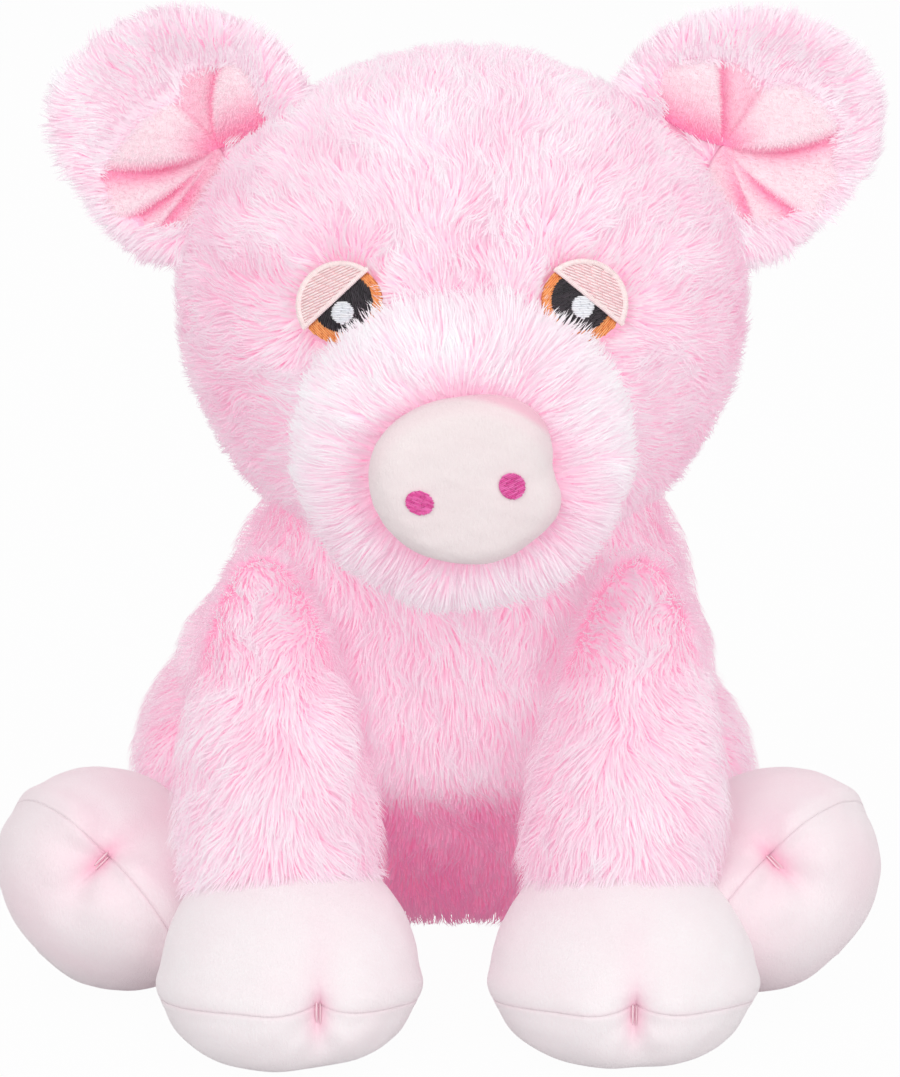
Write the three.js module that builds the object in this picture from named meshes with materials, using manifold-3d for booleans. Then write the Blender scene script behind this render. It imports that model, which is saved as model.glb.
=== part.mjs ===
// A seated plush pig, made as it is sewn: cover panels over separate fillings, in
// nine bags that are stitched to each other. Millimetres, +Z up, the pig faces -Y,
// and its own left is +X. The origin is on the floor, under the middle of its box.
import * as THREE from 'three';
import { mergeVertices } from 'three/addons/utils/BufferGeometryUtils.js';
import Module from 'manifold-3d';

const wasm = await Module();
wasm.setup();

// Sizes that every bag shares
const seamGap = 0.3;
const fillingSlack = 0.5;
const pressGap = 0.55;
const cutOverrun = 6;
const pileThickness = 7;
const shortPileThickness = 2.4;
const flatDepth = 0.5;

// Torso: an egg that leans back from the chest to the rump
const torsoHeight = 158;
const torsoWidth = 130;
const torsoDepth = 126;
const torsoLean = 40;
const torsoSway = 3;

// Chest panel and belly panel, as they lie between the front legs
const chestTop = 152;
const chestWidth = 84;
const chestHem = 58;
const chestHemWidth = 34;
const bellyWidth = 70;
const bellyReach = 108;

// Head: a broad ball with full cheeks, set a little to the pig's left
const headHeight = 130;
const headWidth = 148;
const headDepth = 126;
const headLift = 114;
const headForward = 11;
const headShift = 3;
const nodDown = 5;
const nodUp = 8;
const nodClearance = 0.6;

// Muzzle: a short furry barrel with a flat nose sewn into its end
const muzzleWidth = 83;
const muzzleHeight = 79;
const muzzleReach = 94;
const muzzleRoot = 60;
const muzzleLift = 155;
const noseWidth = 47;
const noseHeight = 41;
const noseThickness = 13;
const noseForward = 98;
const noseDrop = 2;
const noseShift = 0;
const noseRoll = 9;
const nostrilWidth = 7;
const nostrilHeight = 6.4;
const nostrilSpread = 11;
const nostrilDrop = 0.5;

// Eyes: round patches of dense stitching, half closed by a lid that slopes out and down
const eyeRadius = 10.6;
const eyeSpread = 30.4;
const eyeLift = 189.5;
const eyeSink = 4;
const threadThickness = 1.4;
const lidSlope = 41;
const pupilRadius = 7.2;
const highlightRadius = 2.6;
const highlightDrop = 3.6;

// Ears: round cups with a pleated lining
const earWidth = 74;
const earHeight = 66;
const earThickness = 26;
const earDish = 9;
const earSpread = 65;
const earLift = 214;
const earBack = 10;
const earTurn = 14;
const earLean = 12;
const earRootSpread = 61.5;
const earRootLift = 212;
const earSwing = 15;
const liningShare = 0.68;
const liningThickness = 2.2;
const pleatDepth = 3.2;
const pleatCount = 5;
const pleatShift = 13;

// Front legs: straight soft columns from the shoulder to the hem above the hoof
const frontLegHeight = 104;
const frontLegWidth = 57;
const frontLegDepth = 50;
const frontLegSpread = 42;
const frontLegForward = 47;
const frontLegLean = 12;
const frontLegSway = 5;
const frontLegFoot = 20;
const hemHeight = 37;
const shoulderLift = 100;
const shoulderForward = 32;
const frontLegSwing = 20;

// Hooves: pinched soft shoes, all four of one form
const hoofWidth = 65;
const hoofLength = 64;
const hoofHeight = 46;
const hoofLean = 8;
const soleSeam = 19;
const soleTilt = -10;
const cleftDepth = 6.5;
const cleftWidth = 7;
const cleftHeight = 12;
const stitchRadius = 1.1;
const stitchLength = 7;
const stitchCapFacets = 3;
const stitchFacets = 8;
const frontHoofForward = 64;
const frontHoofSpread = 41.5;
const frontHoofShift = 1.5;

// Rear legs: thighs against the rump, with the feet out to the front and rolled over
const thighLength = 92;
const thighWidth = 66;
const thighHeight = 62;
const hipSpread = 51;
const hipBack = 50;
const hipLift = 38;
const ankleSpread = 70;
const ankleForward = 4;
const ankleLift = 38;
const rearHoofSpread = 88;
const rearHoofForward = 23;
const rearHoofRoll = 42;
const rearHoofPitch = 31;
const rearHoofTurn = 3;
const rearLegLift = 12;
const rearPivotLift = 26;

// Tail: one small stuffed curl in the seam of the back
const tailRadius = 4.6;
const tailCurlRadius = 6.4;
const tailLength = 20;
const tailLift = 46;
const tailSink = 17;
const tailTurns = 1.25;
const tailSwing = 15;
const tailFacets = 16;

// Facets round and along the bags
const aroundCount = 20;
const alongCount = 12;
const smallAroundCount = 14;
const smallAlongCount = 10;
const smallWidth = 90;
const fillingFineness = 0.5;
const weldDistance = 1e-4;

// Colours of the fabrics and threads
const plushPink = { color: 0xf9cfe2, roughness: 0.95, metalness: 0 };
const palePink = { color: 0xfae6ea, roughness: 0.85, metalness: 0 };
const fillingWhite = { color: 0xf3f1ee, roughness: 1, metalness: 0 };
const lidThread = { color: 0xf4dcd6, roughness: 0.7, metalness: 0 };
const irisThread = { color: 0xe29358, roughness: 0.6, metalness: 0 };
const pupilThread = { color: 0x2a2024, roughness: 0.6, metalness: 0 };
const whiteThread = { color: 0xeef4fa, roughness: 0.6, metalness: 0 };
const nostrilThread = { color: 0xe04fa2, roughness: 0.65, metalness: 0 };

const pig = new THREE.Group();

// Solids and cuts

function toSolid(geometry) {
  const bare = geometry.clone();
  bare.deleteAttribute('normal');
  bare.deleteAttribute('uv');
  const merged = mergeVertices(bare, weldDistance);
  return new wasm.Manifold(new wasm.Mesh({
    numProp: 3,
    vertProperties: new Float32Array(merged.attributes.position.array),
    triVerts: new Uint32Array(merged.index.array),
  }));
}

function toGeometry(solid) {
  const mesh = solid.getMesh();
  const geometry = new THREE.BufferGeometry();
  geometry.setAttribute('position', new THREE.BufferAttribute(mesh.vertProperties, mesh.numProp));
  geometry.setIndex(new THREE.BufferAttribute(mesh.triVerts, 1));
  geometry.computeVertexNormals();
  return geometry;
}

function largest(solid) {
  const pieces = solid.decompose();
  return pieces.reduce((best, piece) => (piece.volume() > best.volume() ? piece : best));
}

function less(solid, ...cutters) {
  return cutters.reduce((left, cutter) => left.subtract(cutter), solid);
}

// A block that fills one side of a plane square to an axis, far past every bag
function beyond(axis, place, sign) {
  const reach = torsoHeight + headHeight + torsoWidth + torsoDepth;
  const block = new THREE.BoxGeometry(reach, reach, reach);
  const middle = new THREE.Vector3();
  middle[axis] = place + sign * reach / 2;
  block.translate(middle.x, middle.y, middle.z);
  return toSolid(block);
}

// The space that a solid passes through as it turns about a joint
function swept(solid, joint, ...degrees) {
  return degrees.map((angle) => turned(solid, joint, angle)).reduce((all, one) => all.add(one));
}

function turned(solid, joint, degrees) {
  const matrix = new THREE.Matrix4().makeTranslation(joint.at);
  const turn = THREE.MathUtils.degToRad(degrees);
  matrix.multiply(new THREE.Matrix4().makeRotationAxis(joint.axis, turn));
  matrix.multiply(new THREE.Matrix4().makeTranslation(joint.at.clone().negate()));
  return toSolid(toGeometry(solid).applyMatrix4(matrix));
}

// A bag is lofted through oval rings: each row of its table is the ring's place up the
// bag, its place back, its width and its depth, as shares of the bag's own sizes
function swollen(size, shares, grow, fineness = 1) {
  const small = size.width < smallWidth;
  const rings = (small ? smallAlongCount : alongCount) * fineness;
  const facets = (small ? smallAroundCount : aroundCount) * fineness;
  const middles = shares.map(([up, back]) => (
    new THREE.Vector3(up * size.sway, back * size.lean, up * size.height)
  ));
  const radii = shares.map(([, , wide, deep]) => (
    new THREE.Vector3(wide * size.width / 2, deep * size.depth / 2, 0)
  ));
  const spine = new THREE.CatmullRomCurve3(middles, false, 'catmullrom');
  const girth = new THREE.CatmullRomCurve3(radii, false, 'catmullrom');
  const places = [];
  const faces = [];
  const start = spine.getPoint(0);
  places.push(start.x, start.y, start.z);
  for (let ring = 1; ring < rings; ring += 1) {
    const middle = spine.getPoint(ring / rings);
    const radius = girth.getPoint(ring / rings);
    for (let step = 0; step < facets; step += 1) {
      const angle = 2 * Math.PI * step / facets;
      const x = middle.x + radius.x * Math.cos(angle);
      const y = middle.y + radius.y * Math.sin(angle);
      places.push(x, y, middle.z);
    }
  }
  const end = spine.getPoint(1);
  places.push(end.x, end.y, end.z);
  const last = places.length / 3 - 1;
  for (let step = 0; step < facets; step += 1) {
    const next = (step + 1) % facets;
    faces.push(0, 1 + next, 1 + step);
    for (let ring = 0; ring < rings - 2; ring += 1) {
      const low = 1 + ring * facets;
      const high = low + facets;
      faces.push(low + step, low + next, high + next);
      faces.push(low + step, high + next, high + step);
    }
    faces.push(last, last - facets + step, last - facets + next);
  }
  const geometry = new THREE.BufferGeometry();
  geometry.setAttribute('position', new THREE.Float32BufferAttribute(places, 3));
  geometry.setIndex(faces);
  return grown(geometry, grow);
}

// Moves every point of a skin out along its normal, or in where the distance is negative
function grown(geometry, distance) {
  geometry.computeVertexNormals();
  const { position, normal } = geometry.attributes;
  for (let index = 0; index < position.count; index += 1) {
    position.setXYZ(
      index,
      position.getX(index) + distance * normal.getX(index),
      position.getY(index) + distance * normal.getY(index),
      position.getZ(index) + distance * normal.getZ(index),
    );
  }
  return geometry;
}

// Draws a skin in round a stitch, deepest at the stitch itself
function pinched(geometry, at, reach, depth) {
  const { position } = geometry.attributes;
  for (let index = 0; index < position.count; index += 1) {
    const across = (position.getX(index) - at.x) / reach.across;
    const upward = (position.getZ(index) - at.z) / reach.up;
    const toward = position.getY(index) < 0 ? 1 : 0;
    const pull = toward * depth * Math.exp(-across * across - upward * upward);
    position.setY(index, position.getY(index) + pull);
  }
  return geometry;
}

function placed(geometry, at, turns = new THREE.Euler()) {
  const quaternion = new THREE.Quaternion().setFromEuler(turns);
  return geometry.applyMatrix4(new THREE.Matrix4().compose(at, quaternion, new THREE.Vector3(1, 1, 1)));
}

function degrees(x, y, z, order = 'XYZ') {
  return new THREE.Euler(...[x, y, z].map(THREE.MathUtils.degToRad), order);
}

function add(name, solid, fabric) {
  const mesh = new THREE.Mesh(toGeometry(largest(solid)), new THREE.MeshStandardMaterial(fabric));
  mesh.name = name;
  pig.add(mesh);
}

// A bag is a cover, open at its seams, over a filling: form(grow) gives its skin
function coverOf(form, thickness, ...cutters) {
  return less(form(0), form(-thickness), ...cutters);
}

function fillingOf(form, thickness, ...cutters) {
  return less(form(-thickness - seamGap - fillingSlack, fillingFineness), ...cutters);
}

// The part of a solid that lies past a plane square to an axis, half a seam from it
function sideOf(solid, axis, place, sign) {
  return solid.intersect(beyond(axis, place + sign * seamGap / 2, sign));
}

// A block cut to an outline drawn on the front, from one depth to another
function frontBlock(shape, back, front) {
  const options = { depth: back - front, bevelEnabled: false, curveSegments: smallAlongCount };
  const block = new THREE.ExtrudeGeometry(shape, options);
  return toSolid(placed(block, new THREE.Vector3(0, back, 0), degrees(90, 0, 0)));
}

// The joints about which the bags give, each where its seam is
const headMiddle = new THREE.Vector3(headShift, -headForward, headLift + headHeight / 2);
const neck = { at: headMiddle, axis: new THREE.Vector3(1, 0, 0) };
const shoulders = {};
const hips = {};
const earRoots = {};
const sides = { left: 1, right: -1 };
for (const [side, sign] of Object.entries(sides)) {
  shoulders[side] = {
    at: new THREE.Vector3(sign * (frontLegSpread + frontLegSway), -shoulderForward, shoulderLift),
    axis: new THREE.Vector3(-1, 0, 0),
  };
  hips[side] = {
    at: new THREE.Vector3(sign * hipSpread, hipBack, rearPivotLift),
    axis: new THREE.Vector3(-1, 0, 0),
  };
  const outward = new THREE.Vector3(sign * earSpread, 0, earLift - headMiddle.z);
  earRoots[side] = {
    at: new THREE.Vector3(headShift + sign * earRootSpread, earBack, earRootLift),
    axis: new THREE.Vector3(-outward.z, 0, outward.x).normalize(),
  };
}

// Torso

const torsoShares = [
  [-0.003, 1, 0, 0],
  [0.006, 1, 0.5, 0.42],
  [0.04, 1, 0.8, 0.64],
  [0.13, 0.98, 0.97, 0.8],
  [0.26, 0.86, 1, 0.92],
  [0.38, 0.62, 0.99, 1],
  [0.54, 0.38, 0.95, 0.94],
  [0.7, 0.14, 0.88, 0.8],
  [0.85, 0.04, 0.76, 0.62],
  [0.96, 0, 0.44, 0.38],
  [1, 0, 0, 0],
];
const torsoSize = {
  height: torsoHeight, width: torsoWidth, depth: torsoDepth, lean: torsoLean, sway: torsoSway,
};

function torsoForm(grow, fineness) {
  return toSolid(swollen(torsoSize, torsoShares, grow, fineness));
}

// Head, lofted like the torso and then lifted to its place

const headShares = [
  [0, 0, 0, 0],
  [0.02, 0, 0.42, 0.38],
  [0.1, 0, 0.7, 0.68],
  [0.22, 0, 0.87, 0.86],
  [0.36, 0, 0.97, 0.96],
  [0.5, 0, 1, 1],
  [0.64, 0, 0.96, 0.98],
  [0.78, 0, 0.81, 0.85],
  [0.9, 0, 0.57, 0.6],
  [0.98, 0, 0.25, 0.27],
  [1, 0, 0, 0],
];
const headSize = { height: headHeight, width: headWidth, depth: headDepth, lean: 0, sway: 0 };

function headForm(grow, fineness) {
  const at = new THREE.Vector3(headShift, -headForward, headLift);
  return toSolid(placed(swollen(headSize, headShares, grow, fineness), at));
}

// Muzzle and nose, lofted from the face to the front

const muzzleShares = [
  [0, 0, 0, 0],
  [0.02, 0, 0.55, 0.55],
  [0.2, 0, 0.86, 0.86],
  [0.45, 0, 1, 1],
  [0.7, 0, 0.98, 0.98],
  [0.88, 0, 0.82, 0.82],
  [0.98, 0, 0.48, 0.48],
  [1, 0, 0, 0],
];
const muzzleSize = { height: muzzleRoot, width: muzzleWidth, depth: muzzleHeight, lean: 0, sway: 0 };
const noseShares = [
  [0, 0, 0, 0],
  [0.04, 0, 0.6, 0.6],
  [0.3, 0, 0.95, 0.95],
  [0.6, 0, 1, 1],
  [0.88, 0, 0.84, 0.84],
  [0.98, 0, 0.5, 0.5],
  [1, 0, 0, 0],
];
const noseSize = { height: noseThickness, width: noseWidth, depth: noseHeight, lean: 0, sway: 0 };

function muzzleForm(grow, fineness) {
  const at = new THREE.Vector3(headShift, -(muzzleReach - muzzleRoot), muzzleLift);
  const form = swollen(muzzleSize, muzzleShares, grow, fineness);
  return toSolid(placed(form, at, degrees(90, 0, 0)));
}

function noseForm(grow) {
  const back = noseForward - noseThickness;
  const at = new THREE.Vector3(headShift + noseShift, -back, muzzleLift - noseDrop);
  const form = swollen(noseSize, noseShares, grow);
  return toSolid(placed(form, at, degrees(90, noseRoll, 0)));
}

// Hooves

const frontHoofShares = [
  [-0.01, 0, 0, 0],
  [0.01, 0, 0.5, 0.5],
  [0.1, 0, 0.84, 0.84],
  [0.26, 0, 0.98, 0.98],
  [0.42, 0.1, 1, 1],
  [0.62, 0.4, 0.93, 0.9],
  [0.82, 0.8, 0.74, 0.7],
  [0.96, 1, 0.4, 0.38],
  [1, 1, 0, 0],
];
const rearHoofShares = [
  [-0.24, 0, 0, 0],
  [-0.2, 0, 0.38, 0.38],
  [-0.06, 0, 0.72, 0.72],
  [0.12, 0, 0.92, 0.92],
  [0.3, 0, 0.99, 0.99],
  [0.46, 0.1, 1, 1],
  [0.64, 0.4, 0.93, 0.9],
  [0.82, 0.8, 0.74, 0.7],
  [0.96, 1, 0.4, 0.38],
  [1, 1, 0, 0],
];
const hoofSize = {
  height: hoofHeight, width: hoofWidth, depth: hoofLength, lean: hoofLean, sway: 0,
};
const cleftAt = new THREE.Vector3(0, -hoofLength / 2, soleSeam);
const cleftReach = { across: cleftWidth, up: cleftHeight };

function hoofSkin(shares, grow) {
  const form = swollen(hoofSize, shares, grow);
  return pinched(form, cleftAt, cleftReach, cleftDepth);
}

function frontHoofPlace(sign) {
  const at = new THREE.Vector3(frontHoofShift + sign * frontHoofSpread, -frontHoofForward, 0);
  return { at, turns: degrees(0, 0, 0), shares: frontHoofShares };
}

// A rear hoof rolls out over its outer edge, and is lifted until that edge meets the floor
function rearHoofPlace(sign) {
  const turns = degrees(-rearHoofPitch, -sign * rearHoofRoll, sign * rearHoofTurn, 'ZXY');
  const trial = placed(hoofSkin(rearHoofShares, 0), new THREE.Vector3(), turns);
  trial.computeBoundingBox();
  const drop = -trial.boundingBox.min.z - flatDepth;
  const middle = trial.boundingBox.getCenter(new THREE.Vector3());
  const at = new THREE.Vector3(sign * rearHoofSpread - middle.x, -rearHoofForward - middle.y, drop);
  return { at, turns, shares: rearHoofShares };
}

function hoofForm(place, grow) {
  return toSolid(placed(hoofSkin(place.shares, grow), place.at, place.turns));
}

// The upper and the sole are cut apart along a plane that falls from toe to heel
function soleSide(place, above) {
  const reach = hoofWidth + hoofLength + hoofHeight;
  const block = new THREE.BoxGeometry(reach, reach, reach);
  block.translate(0, 0, above - reach / 2);
  const toe = new THREE.Vector3(0, -hoofLength / 2, soleSeam);
  return toSolid(placed(placed(block, toe, degrees(soleTilt, 0, 0)), place.at, place.turns));
}

// Front legs

const frontLegShares = [
  [0, 0, 0, 0],
  [0.03, 0, 0.7, 0.7],
  [0.14, 0, 0.98, 0.98],
  [0.34, 0.1, 1, 1],
  [0.54, 0.3, 0.9, 0.97],
  [0.72, 0.6, 0.76, 0.88],
  [0.86, 0.85, 0.58, 0.68],
  [0.96, 1, 0.32, 0.4],
  [1, 1, 0, 0],
];

function frontLegForm(sign, grow, fineness = 1) {
  const size = {
    height: frontLegHeight, width: frontLegWidth, depth: frontLegDepth,
    lean: frontLegLean, sway: sign * frontLegSway,
  };
  const at = new THREE.Vector3(sign * frontLegSpread, -frontLegForward, frontLegFoot);
  return toSolid(placed(swollen(size, frontLegShares, grow, fineness), at));
}

// Rear legs

const thighShares = [
  [0, 0, 0, 0],
  [0.03, 0, 0.5, 0.5],
  [0.16, 0, 0.86, 0.86],
  [0.36, 0, 1, 1],
  [0.56, 0, 0.95, 0.95],
  [0.76, 0, 0.78, 0.78],
  [0.94, 0, 0.5, 0.5],
  [1, 0, 0, 0],
];
const thighSize = { height: thighLength, width: thighWidth, depth: thighHeight, lean: 0, sway: 0 };

function thighPlace(sign) {
  const hip = new THREE.Vector3(sign * hipSpread, hipBack, hipLift);
  const ankle = new THREE.Vector3(sign * ankleSpread, -ankleForward, ankleLift);
  const direction = ankle.clone().sub(hip).normalize();
  const quaternion = new THREE.Quaternion().setFromUnitVectors(new THREE.Vector3(0, 0, 1), direction);
  const start = hip.clone().addScaledVector(direction, -thighWidth / 2);
  return { at: start, turns: new THREE.Euler().setFromQuaternion(quaternion) };
}

function thighForm(sign, grow, fineness) {
  const { at, turns } = thighPlace(sign);
  return toSolid(placed(swollen(thighSize, thighShares, grow, fineness), at, turns));
}

// Ears

const earShares = [
  [0.66, 0, 0, 0],
  [0.72, 0, 0.3, 0.3],
  [0.84, 0, 0.52, 0.52],
  [0.97, 0, 0.68, 0.68],
  [1, 0, 0.84, 0.84],
  [0.9, 0, 0.97, 0.97],
  [0.7, 0, 1, 1],
  [0.4, 0, 0.9, 0.9],
  [0.14, 0, 0.64, 0.64],
  [0.02, 0, 0.3, 0.3],
  [0, 0, 0, 0],
].reverse();
const earSize = { height: earThickness, width: earWidth, depth: earHeight, lean: 0, sway: 0 };

function earPlace(sign) {
  return {
    at: new THREE.Vector3(headShift + sign * earSpread, earBack, earLift),
    turns: degrees(90 - earLean, 0, sign * earTurn, 'ZXY'),
  };
}

function earForm(sign, grow) {
  const { at, turns } = earPlace(sign);
  return toSolid(placed(swollen(earSize, earShares, grow), at, turns));
}

// The lining is a dished disc whose pleats gather towards the root of the ear
function liningForm(sign, grow) {
  const radius = liningShare * earWidth / 2;
  const places = [];
  const faces = [];
  const rings = pleatCount;
  const facets = smallAroundCount;
  for (const layer of [0, 1]) {
    for (let ring = 0; ring <= rings; ring += 1) {
      const share = ring / rings;
      for (let step = 0; step < facets; step += 1) {
        const angle = 2 * Math.PI * step / facets;
        const x = radius * share * Math.cos(angle);
        const y = radius * share * Math.sin(angle) * earHeight / earWidth;
        const fold = Math.atan2(y, x + sign * pleatShift);
        const ripple = pleatDepth * share * (1 - share) * 2 * (1 + Math.cos(pleatCount * fold));
        const dish = earThickness - earDish * (1 - share * share);
        places.push(x, y, dish + layer * (liningThickness + ripple));
      }
    }
  }
  const size = (rings + 1) * facets;
  for (let step = 0; step < facets; step += 1) {
    const next = (step + 1) % facets;
    for (let ring = 0; ring < rings; ring += 1) {
      const low = ring * facets;
      const high = low + facets;
      faces.push(low + step, high + next, high + step);
      faces.push(size + low + step, size + high + step, size + high + next);
      if (ring > 0) {
        faces.push(low + step, low + next, high + next);
        faces.push(size + low + step, size + high + next, size + low + next);
      }
    }
    const rim = rings * facets;
    faces.push(rim + step, rim + next, size + rim + next, rim + step, size + rim + next, size + rim + step);
  }
  const geometry = new THREE.BufferGeometry();
  geometry.setAttribute('position', new THREE.Float32BufferAttribute(places, 3));
  geometry.setIndex(faces);
  const { at, turns } = earPlace(sign);
  return toSolid(placed(grown(mergeVertices(geometry, weldDistance), grow), at, turns));
}

// Embroidery is laid on a form as a thin patch that follows its surface
function patch(block, form, sink) {
  const base = seamGap - sink;
  return less(block.intersect(form(base + threadThickness)), form(base));
}

function disc(x, y, radius, tall = radius) {
  return new THREE.Shape().absellipse(x, y, radius, tall, 0, 2 * Math.PI);
}

// Torso panels

const floorCut = beyond('z', 0, -1);
const headPath = headForm(seamGap + nodClearance);

function bibBlock(grow) {
  const top = chestTop + grow;
  const hem = chestHem - grow;
  const wide = chestWidth / 2 + grow;
  const narrow = chestHemWidth / 2 + grow;
  const shape = new THREE.Shape();
  shape.moveTo(-wide, top);
  shape.quadraticCurveTo(-wide, chestHem, -narrow, hem);
  shape.lineTo(narrow, hem);
  shape.quadraticCurveTo(wide, chestHem, wide, top);
  return frontBlock(shape, 0, -torsoDepth);
}

function bellyBlock(grow) {
  const wide = bellyWidth / 2 + grow;
  const narrow = chestHemWidth / 2 + grow;
  const shape = new THREE.Shape();
  shape.moveTo(-narrow, chestHem);
  shape.quadraticCurveTo(-wide, chestHem / 2, -wide, -cutOverrun);
  shape.lineTo(wide, -cutOverrun);
  shape.quadraticCurveTo(wide, chestHem / 2, narrow, chestHem);
  return frontBlock(shape, bellyReach - torsoLean, -torsoDepth);
}

const torsoCover = coverOf(torsoForm, pileThickness, headPath, floorCut);
const sideCover = less(torsoCover, bibBlock(seamGap), bellyBlock(seamGap));
const muzzleNodding = swept(muzzleForm(seamGap), neck, nodDown);
add('chest_panel', less(torsoCover.intersect(bibBlock(0)), muzzleNodding), plushPink);
add('belly_panel', less(torsoCover.intersect(bellyBlock(0)), bibBlock(seamGap)), plushPink);
for (const [side, sign] of Object.entries(sides)) {
  add(`body_side_${side}`, sideOf(sideCover, 'x', 0, sign), plushPink);
}
const headRoom = headForm(seamGap + nodClearance + 2 * fillingSlack);
add('body_filling', less(torsoForm(-pileThickness - seamGap), headRoom), fillingWhite);

// Head and muzzle

const eyes = Object.entries(sides).map(([side, sign]) => {
  const x = headShift + sign * eyeSpread;
  return { side, sign, x, turn: THREE.MathUtils.degToRad(-sign * lidSlope) };
});

function eyeBlock(shape) {
  return frontBlock(shape, -headForward, -headForward - headDepth);
}

// One half of an eye, on the lid's side of its slope or below it, clear of the seam
function eyeHalf({ x, turn }, above) {
  const reach = 2 * eyeRadius;
  const near = seamGap / 2;
  const corners = [[-reach, near], [reach, near], [reach, reach], [-reach, reach]];
  const points = corners.map(([across, up]) => {
    const corner = new THREE.Vector2(across, above ? up : -up);
    return corner.rotateAround(new THREE.Vector2(), turn).add(new THREE.Vector2(x, eyeLift));
  });
  return eyeBlock(new THREE.Shape(points));
}

const eyePockets = eyes.map(({ x }) => (
  less(eyeBlock(disc(x, eyeLift, eyeRadius + seamGap)), headForm(-eyeSink))
));
const headCover = coverOf(headForm, pileThickness, ...eyePockets);
for (const [side, sign] of Object.entries(sides)) {
  add(`head_side_${side}`, sideOf(headCover, 'x', headShift, sign), plushPink);
}
add('head_filling', fillingOf(headForm, pileThickness), fillingWhite);

const headSkin = headForm(seamGap);
const noseSpace = noseForm(seamGap);
add('muzzle_cover', coverOf(muzzleForm, pileThickness, headSkin, noseSpace), plushPink);
add('muzzle_filling', fillingOf(muzzleForm, pileThickness, headSkin, noseSpace), fillingWhite);
add('nose_disc', noseForm(0), palePink);
for (const [side, sign] of Object.entries(sides)) {
  const roll = THREE.MathUtils.degToRad(noseRoll);
  const x = headShift + noseShift + sign * nostrilSpread * Math.cos(roll);
  const z = muzzleLift - noseDrop - nostrilDrop + sign * nostrilSpread * Math.sin(roll);
  const outline = disc(x, z, nostrilWidth / 2, nostrilHeight / 2);
  const block = frontBlock(outline, noseThickness / 2 - noseForward, -noseForward - cutOverrun);
  add(`nostril_${side}`, patch(block, noseForm, 0), nostrilThread);
}

for (const eye of eyes) {
  const { side, x, turn } = eye;
  const below = new THREE.Vector2(0, -highlightDrop).rotateAround(new THREE.Vector2(), turn);
  const spark = [x + below.x, eyeLift + below.y];
  const whole = eyeBlock(disc(x, eyeLift, eyeRadius));
  const lower = whole.intersect(eyeHalf(eye, false));
  const pupil = (grow) => eyeBlock(disc(x, eyeLift, pupilRadius + grow));
  const highlight = (grow) => eyeBlock(disc(...spark, highlightRadius + grow));
  const pieces = {
    lid: [whole.intersect(eyeHalf(eye, true)), lidThread],
    iris: [less(lower, pupil(seamGap)), irisThread],
    pupil: [less(lower.intersect(pupil(0)), highlight(seamGap)), pupilThread],
    highlight: [lower.intersect(highlight(0)), whiteThread],
  };
  for (const [piece, [block, thread]] of Object.entries(pieces)) {
    add(`eye_${side}_${piece}`, patch(block, headForm, eyeSink), thread);
  }
}

// Ears

for (const [side, sign] of Object.entries(sides)) {
  const headTurning = swept(headSkin, earRoots[side], -earSwing, earSwing);
  const lining = less(liningForm(sign, 0), headTurning);
  add(`ear_${side}_cover`, less(earForm(sign, 0), headTurning, liningForm(sign, seamGap)), plushPink);
  add(`ear_${side}_lining`, lining, palePink);
}

// Hooves with their soles, fillings and cleft stitches

function addHoof(name, place, form) {
  const cover = coverOf(form, shortPileThickness, floorCut);
  add(`${name}_upper`, less(cover, soleSide(place, seamGap / 2)), palePink);
  add(`${name}_sole`, cover.intersect(soleSide(place, -seamGap / 2)), palePink);
  add(`${name}_filling`, form(-shortPileThickness - seamGap), fillingWhite);
  const stitch = new THREE.CapsuleGeometry(stitchRadius, stitchLength, stitchCapFacets, stitchFacets);
  stitch.rotateX(Math.PI / 2);
  stitch.translate(0, cleftAt.y + cleftDepth - 2 * stitchRadius, soleSeam);
  add(`${name}_stitch`, less(toSolid(placed(stitch, place.at, place.turns)), form(seamGap)), palePink);
}

// Legs

for (const [side, sign] of Object.entries(sides)) {
  const hoofPlace = frontHoofPlace(sign);
  const form = (grow, fineness) => frontLegForm(sign, grow, fineness);
  const cutters = [
    swept(torsoForm(seamGap), shoulders[side], -frontLegSwing, 0),
    headPath,
    hoofForm(hoofPlace, seamGap),
    beyond('z', hemHeight, -1),
  ];
  const cover = coverOf(form, pileThickness, ...cutters);
  add(`front_leg_${side}_outer`, sideOf(cover, 'x', sign * frontLegSpread, sign), plushPink);
  add(`front_leg_${side}_inner`, sideOf(cover, 'x', sign * frontLegSpread, -sign), plushPink);
  add(`front_leg_${side}_filling`, fillingOf(form, pileThickness, ...cutters), fillingWhite);
  addHoof(`front_hoof_${side}`, hoofPlace, (grow) => hoofForm(hoofPlace, grow));
}

for (const [side, sign] of Object.entries(sides)) {
  const hoofPlace = rearHoofPlace(sign);
  const form = (grow, fineness) => thighForm(sign, grow, fineness);
  const cutters = [
    swept(torsoForm(pressGap), hips[side], -rearLegLift, -rearLegLift / 2, 0),
    hoofForm(hoofPlace, seamGap),
    floorCut,
  ];
  const cover = coverOf(form, pileThickness, ...cutters);
  add(`rear_leg_${side}_top`, sideOf(cover, 'z', hipLift, 1), plushPink);
  add(`rear_leg_${side}_under`, sideOf(cover, 'z', hipLift, -1), plushPink);
  add(`rear_leg_${side}_filling`, fillingOf(form, pileThickness, ...cutters), fillingWhite);
  // The foot is dented where it presses on the front leg and its hoof
  const dented = (grow) => {
    const frontHoof = hoofForm(frontHoofPlace(sign), pressGap - grow);
    const frontLeg = frontLegForm(sign, pressGap - grow);
    const passed = swept(frontHoof.add(frontLeg), hips[side], -rearLegLift, -rearLegLift / 2, 0);
    return less(hoofForm(hoofPlace, grow), passed);
  };
  addHoof(`rear_hoof_${side}`, hoofPlace, dented);
}

// Tail

const tailBack = torsoLean + torsoDepth / 2 - tailSink;

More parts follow.
